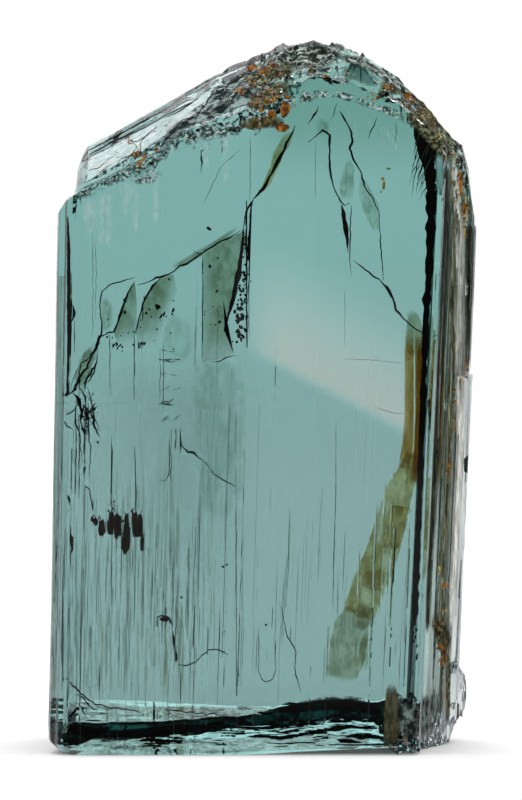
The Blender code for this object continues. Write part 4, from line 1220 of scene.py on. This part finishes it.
def etched_rim_glints_and_shade():
    """The etched upper edge of the front face with its grey-white glints and dark refractions painted on, and
    pale streaks that hang from it.
    """
    bm = bmesh.new()
    for half, *line in ETCHED_LINES:
        skin(bm, line, half, WIDE)
    for x, z, tall in DRIPS:
        skin(bm, ((x, z), (x + 0.02, z - tall * 0.5), (x - 0.02, z - tall)), 0.1, WIDE)
    # partly painted: the rim is etched, and its pale glints and dark grain are painted light and shade
    look = (0.03, 0.05, 0.045), (0.44, 0.6, 0.57), (2.0, 2.0, 2.2), (0.42, 0.58), 0.9
    inclusion(bm, "etched_edge", crust_and_painted_light_material("etched_rim_glints_and_shade", *look))
    bm = bmesh.new()
    random.seed(71)
    skin(bm, ((-6.5, 29.0), (-5.9, 29.15), (-5.2, 29.35)), 0.3, WIDE)
    for _ in range(12):
        x = random.uniform(-9.3, -1.5)
        z = along(EDGE_LINE, x) - random.uniform(0.3, 0.7)
        end = (x + 0.03, z - random.uniform(1.5, 3.5))
        skin(bm, ((x, z), end), random.uniform(0.12, 0.3), WIDE)
    for _ in range(12):
        x = random.uniform(4.0, 7.9)
        z = along(EDGE_LINE, x) - random.uniform(0.6, 2.0)
        end = (x + random.uniform(0.1, 0.5), z - random.uniform(0.5, 1.4))
        skin(bm, ((x, z), end), 0.05, WIDE)
    look = (0.42, 0.66, 0.63), (0.6, 0.8, 0.78), (2, 2, 1), (0.2, 0.6), 0.28
    inclusion(bm, "pale_streaks", crust_and_painted_light_material("pale_streak", *look))


def crusts():
    """Thin crusts, painted light and shade, streaks on the flank and hair cracks: what lies on the outside.
    """
    for name, lift, look, strips in CRUSTS_AND_PAINTED_LIGHT:
        bm = bmesh.new()
        for half, *line in strips:
            skin(bm, line, half, BROAD, lift)
        inclusion(bm, name, crust_and_painted_light_material(name, *look))
    for name, lift, dark, light, cover, places, halves in STREAKS:
        bm = bmesh.new()
        skin(bm, list(zip(places, STREAK_LEVELS, halves)), 0, STREAK_SHARES, lift)
        if name == "dark_streaks":
            skin(bm, RIB_LINE, 0, (-1.0, -0.8, 0.0, 0.8, 1.0), 0.02)
            skin(bm, FOOT_LINE, 0, WIDE)
        inclusion(bm, name, crust_and_painted_light_material(name, dark, light, (6, 6, 0.3), cover, 1.0))
    bm = bmesh.new()
    for half, lift, jag, *line in HAIR_CRACKS:
        skin(bm, line, half, HAIR, lift, jag)
    for _ in range(60):
        x = random.uniform(-9.0, -2.8)
        z = along(ROOF_FOOT, x) + random.uniform(0.0, 1.3)
        end = (x + random.uniform(0.02, 0.12), z + random.uniform(-0.06, 0.08))
        skin(bm, ((x, z), end), random.uniform(0.012, 0.03))
    look = (0.01, 0.015, 0.015), (0.04, 0.045, 0.04), (3, 3, 3), 0.6
    inclusion(bm, "hair_cracks", solid_material("hair_crack", *look))


RUST_SPOTS = (  # x, z, half-width, half-height, grains
    (-1.2, 33.6, 0.3, 0.25, 40), (-0.6, 34, 0.3, 0.3, 20), (0.48, 34.85, 0.28, 0.18, 34),
    (0, 34.6, 0.3, 0.22, 34), (-0.58, 34.7, 0.3, 0.14, 40), (0.2, 33.3, 0.6, 0.5, 40),
    (-0.3, 33, 0.5, 0.35, 36), (-6.4, 30.35, 0.2, 0.12, 22), (-6.05, 30.1, 0.12, 0.12, 14),
    (-6.2, 29.8, 0.12, 0.2, 14), (-5.4, 30.6, 0.1, 0.1, 8), (8.74, 32.2, 0.15, 0.12, 12),
    (1, 34.4, 0.4, 0.4, 16), (7.3, 33.3, 0.2, 0.14, 50), (7.55, 33.05, 0.12, 0.2, 24),
    (6.3, 33.7, 0.4, 0.12, 12), (8, 32.4, 0.3, 0.4, 20), (8.6, 31.6, 0.2, 0.3, 12),
    (-6.9, 31, 0.25, 0.2, 12), (2.4, 34.6, 0.2, 0.15, 8), (5.6, 33.2, 0.5, 0.2, 8),
    (10.02, 28.8, 0.08, 0.62, 110), (10.3, 27.6, 0.1, 0.4, 20), (9.4, 14.4, 0.16, 0.4, 24),
    (9.1, 5.1, 0.2, 0.2, 50), (9.26, 8.3, 0.16, 0.14, 20), (9.2, 4.6, 0.25, 0.5, 40),
    (9.75, 17, 0.12, 1.2, 16), (10.4, 19.3, 0.06, 0.5, 20),
)
GOLD_SPOTS = (  # the same, for the yellow grains
    (10.3, 27.5, 0.14, 0.9, 70), (10.3, 26.4, 0.08, 0.6, 30), (10.2, 18.8, 0.12, 0.5, 30),
    (9.5, 14.2, 0.16, 0.5, 30), (9, 9.2, 0.16, 0.3, 14), (9.3, 8.3, 0.2, 0.16, 20), (9.3, 7, 0.2, 0.2, 20),
    (9.3, 3.2, 0.12, 1.2, 20), (-0.5, 34.2, 0.6, 0.5, 40), (0.3, 33.4, 0.7, 0.6, 50),
    (8.2, 32.3, 0.3, 0.3, 16), (9, 31.4, 0.3, 0.4, 26), (9.7, 30.3, 0.2, 0.5, 24), (4.4, 34.3, 0.3, 0.2, 10),
    (6, 33.5, 0.6, 0.2, 12), (9.7, 22, 0.1, 3, 16),
)
RUST_BEADS = (  # smooth blobs: x, z, half-width, half-height
    (1.08, 32.6, 0.24, 0.38), (0.4, 32.35, 0.2, 0.2), (0.95, 31.7, 0.32, 0.22), (3.12, 34.22, 0.18, 0.14),
    (1.2, 33.2, 0.14, 0.12), (7.3, 33.35, 0.2, 0.16),
)
OCHRE_GRAINS = (  # inside the clear body, just behind the front face
    (6.05, 28.8, 0.1, 0.3), (6.3, 29.6, 0.1, 0.1), (6.0, 29.1, 0.12, 0.1), (5.9, 28.4, 0.05, 0.1),
)


def rust():
    """Iron oxide: irregular grains that sit on the broken crest and along the flank."""
    random.seed(61)
    made = []
    for spots, largest in ((GOLD_SPOTS, 0.05), (RUST_SPOTS, 0.08)):
        bm = bmesh.new()
        for x, z, wide, tall, count in spots:
            for _ in range(count):
                at, normal = on_surface(x + random.gauss(0, 0.5) * wide, z + random.gauss(0, 0.5) * tall)
                if at is None:
                    continue
                size = random.uniform(0.025, largest)
                radii = (size * random.uniform(0.7, 1.5), size * 0.55, size * random.uniform(0.7, 1.6))
                lump(bm, at - normal * 0.01, radii, random.uniform(0, 3), random.random() * 30, 1, 0.8)
        made.append(bm)
    look = (0.5, 0.26, 0.03), (0.86, 0.66, 0.24), (3, 3, 3), 0.4, 0.5
    inclusion(made[0], "gold_grains", solid_material("gold_grain", *look))
    bm = made[1]
    for x, z, wide, tall in RUST_BEADS:
        at, normal = on_surface(x, z)
        lump(bm, at - normal * 0.03, (wide, 0.1, tall), 0.1, x * 3, 3, 0.5)
    look = (0.1, 0.03, 0.003), (0.46, 0.17, 0.01), (3, 3, 3), 0.4, 0.2
    inclusion(bm, "iron_oxide", solid_material("iron_oxide", *look), math.radians(40))
    bm = bmesh.new()
    for x, z, wide, tall in OCHRE_GRAINS:
        for _ in range(3):
            place = (x + random.gauss(0, 0.3) * wide, -4.4, z + random.gauss(0, 0.5) * tall)
            lump(bm, place, (wide * 0.6, 0.05, tall * 0.5), 0.2, random.random() * 9, 2, 0.6)
    look = (0.5, 0.3, 0.02), (0.8, 0.6, 0.1), (3, 3, 3), 0.6
    inclusion(bm, "ochre_grains", solid_material("ochre_grain", *look))


fractures()
growth_tubes()
black_band()
dark_clusters()
veils(VEILS)
olive_tongue()
veils(BASE_VEILS)
films()
etched_rim_glints_and_shade()
crusts()
rust()


# ---------------------------------------------------------------- floor, light and camera

FLOOR_RADIUS, FLOOR_BACK = 300.0, 293.0  # its middle stands back, behind the crystal


def floor():
    bm = bmesh.new()
    place = Matrix.Translation((0, FLOOR_BACK, 0))
    bmesh.ops.create_circle(bm, cap_ends=True, segments=96, radius=FLOOR_RADIUS, matrix=place)
    made, tree = new_material("pale_floor")
    place = node(tree, "ShaderNodeTexCoord").outputs["Object"]
    y = node(tree, "ShaderNodeSeparateXYZ", {0: place}).outputs[1]
    soft = times(tree, ramp(tree, y, -7.0 * MM, -3.0 * MM), ramp(tree, y, 590.0 * MM, 150.0 * MM))
    principled(tree, {"Base Color": (0.9, 0.9, 0.9, 1), "Roughness": 0.9, "Alpha": soft})
    return write_mesh(bm, "floor", made)


# Parts of a unit direction: where each light begins and where it is full.
WALL_EDGE = (math.cos(math.radians(62)), math.cos(math.radians(14)))
WALL_TOP = math.sin(math.radians(35))
CEILING_EDGE = math.sin(math.radians(40))
STRIP_SLOPE, STRIP_FOOT, STRIP_HEAD = 0.524, (-0.0378, -0.0345), (-0.012, -0.035)
STRIP_LEFT, STRIP_RIGHT = (-0.006, 0.004), (0.0252, 0.0232)
PANEL_HEAD, PANEL_FOOT = (-0.046, -0.063), (-0.0975, -0.091)
WALL_LIGHT, SIDE_LIGHT = 1.25, 0.22
CEILING_LIGHT = (1.25, 2.3)  # over the front and over the back
STRIP_COLOUR, STRIP_LIGHT = (1.0, 0.52, 0.4), 2.3
PANEL_COLOUR, PANEL_LIGHT = (0.95, 0.97, 0.97), 0.14


def studio_world():
    """A white room for the eye; for the light, bright walls behind and in front, a ceiling and dim sides.

    What the crystal's outside mirrors of the front wall is dark, as a dark-clad camera stand would be, apart
    from one soft warm strip low in front and a dim panel under it.
    """
    world = bpy.data.worlds.new("studio")
    bpy.context.scene.world = world
    world.use_nodes = True
    tree = world.node_tree
    tree.nodes.clear()
    place = node(tree, "ShaderNodeTexCoord").outputs["Generated"]
    x, y, z = node(tree, "ShaderNodeSeparateXYZ", {0: place}).outputs
    rays = node(tree, "ShaderNodeLightPath").outputs
    mirrored = times(tree, rays["Is Reflection Ray"], maths(tree, "SUBTRACT", 1.0, rays["Is Diffuse Ray"]))
    level = maths(tree, "SQRT", maths(tree, "ADD", times(tree, x, x), times(tree, y, y)))
    ahead = maths(tree, "DIVIDE", y, level)  # 1 straight behind the crystal, -1 straight in front
    behind = ramp(tree, ahead, *WALL_EDGE)
    seen = maths(tree, "SUBTRACT", 1.0, mirrored)
    front = times(tree, ramp(tree, ahead, -WALL_EDGE[0], -WALL_EDGE[1]), seen)
    wall = times(tree, maths(tree, "ADD", behind, front), ramp(tree, z, WALL_TOP + 0.03, WALL_TOP - 0.03))
    ceiling = ramp(tree, z, CEILING_EDGE - 0.03, CEILING_EDGE + 0.03)
    clad = times(tree, mirrored, ramp(tree, ahead, 0.1, -0.6))
    side = times(tree, maths(tree, "SUBTRACT", 1.0, times(tree, clad, 0.85)), SIDE_LIGHT)
    total = maths(tree, "ADD", side, times(tree, wall, WALL_LIGHT - SIDE_LIGHT))
    total = maths(tree, "ADD", total, times(tree, ceiling, ramp(tree, y, -0.6, 0.6, *CEILING_LIGHT)))
    inputs = {"Factor": rays["Is Camera Ray"], 2: total, 3: 1.0}
    total = node(tree, "ShaderNodeMix", inputs, data_type="FLOAT").outputs[0]
    before = ramp(tree, y, 0.0, -0.5)
    slant = maths(tree, "ADD", z, times(tree, x, STRIP_SLOPE))
    strip = times(tree, ramp(tree, slant, *STRIP_FOOT), ramp(tree, slant, *STRIP_HEAD))
    strip = times(tree, strip, times(tree, ramp(tree, x, *STRIP_LEFT), ramp(tree, x, *STRIP_RIGHT)))
    strip = times(tree, strip, times(tree, mirrored, before))
    colour = blend(tree, strip, (1, 1, 1), STRIP_COLOUR)
    panel = times(tree, ramp(tree, z, *PANEL_HEAD), ramp(tree, z, *PANEL_FOOT))
    panel = times(tree, times(tree, panel, mirrored), times(tree, before, PANEL_LIGHT))
    colour = blend(tree, maths(tree, "MINIMUM", panel, 1.0), colour, PANEL_COLOUR)
    total = maths(tree, "ADD", total, maths(tree, "ADD", times(tree, strip, STRIP_LIGHT), panel))
    background = node(tree, "ShaderNodeBackground", {"Color": colour, "Strength": total})
    out = node(tree, "ShaderNodeOutputWorld")
    tree.links.new(background.outputs[0], out.inputs["Surface"])


studio_world()
floor()

CAMERA_DISTANCE, CAMERA_RISE = 300.0, math.radians(2.5)
AIM = Vector((0.0, 0.0, 17.77))
FRAME_ROWS, PIXEL = 800, 0.05035  # pixels, and millimetres for each at the front face
FRAME_HEIGHT = FRAME_ROWS * PIXEL
SHIFT = 2.5  # pixels that the crystal stands right of the middle of the frame
SENSOR = 24.0


def camera():
    data = bpy.data.cameras.new("camera")
    made = bpy.data.objects.new("camera", data)
    bpy.context.scene.collection.objects.link(made)
    offset = Vector((0, -math.cos(CAMERA_RISE), math.sin(CAMERA_RISE))) * CAMERA_DISTANCE
    made.location = (AIM + offset) * MM
    made.rotation_euler = (math.radians(90) - CAMERA_RISE, 0, 0)
    data.sensor_fit = "VERTICAL"
    data.sensor_height = SENSOR
    data.lens = SENSOR * (CAMERA_DISTANCE + FRONT_Y) / FRAME_HEIGHT
    data.clip_start, data.clip_end = 0.01, 10.0
    data.shift_x = -SHIFT / FRAME_ROWS
    bpy.context.scene.camera = made


camera()
bpy.context.scene.view_settings.view_transform = "Standard"
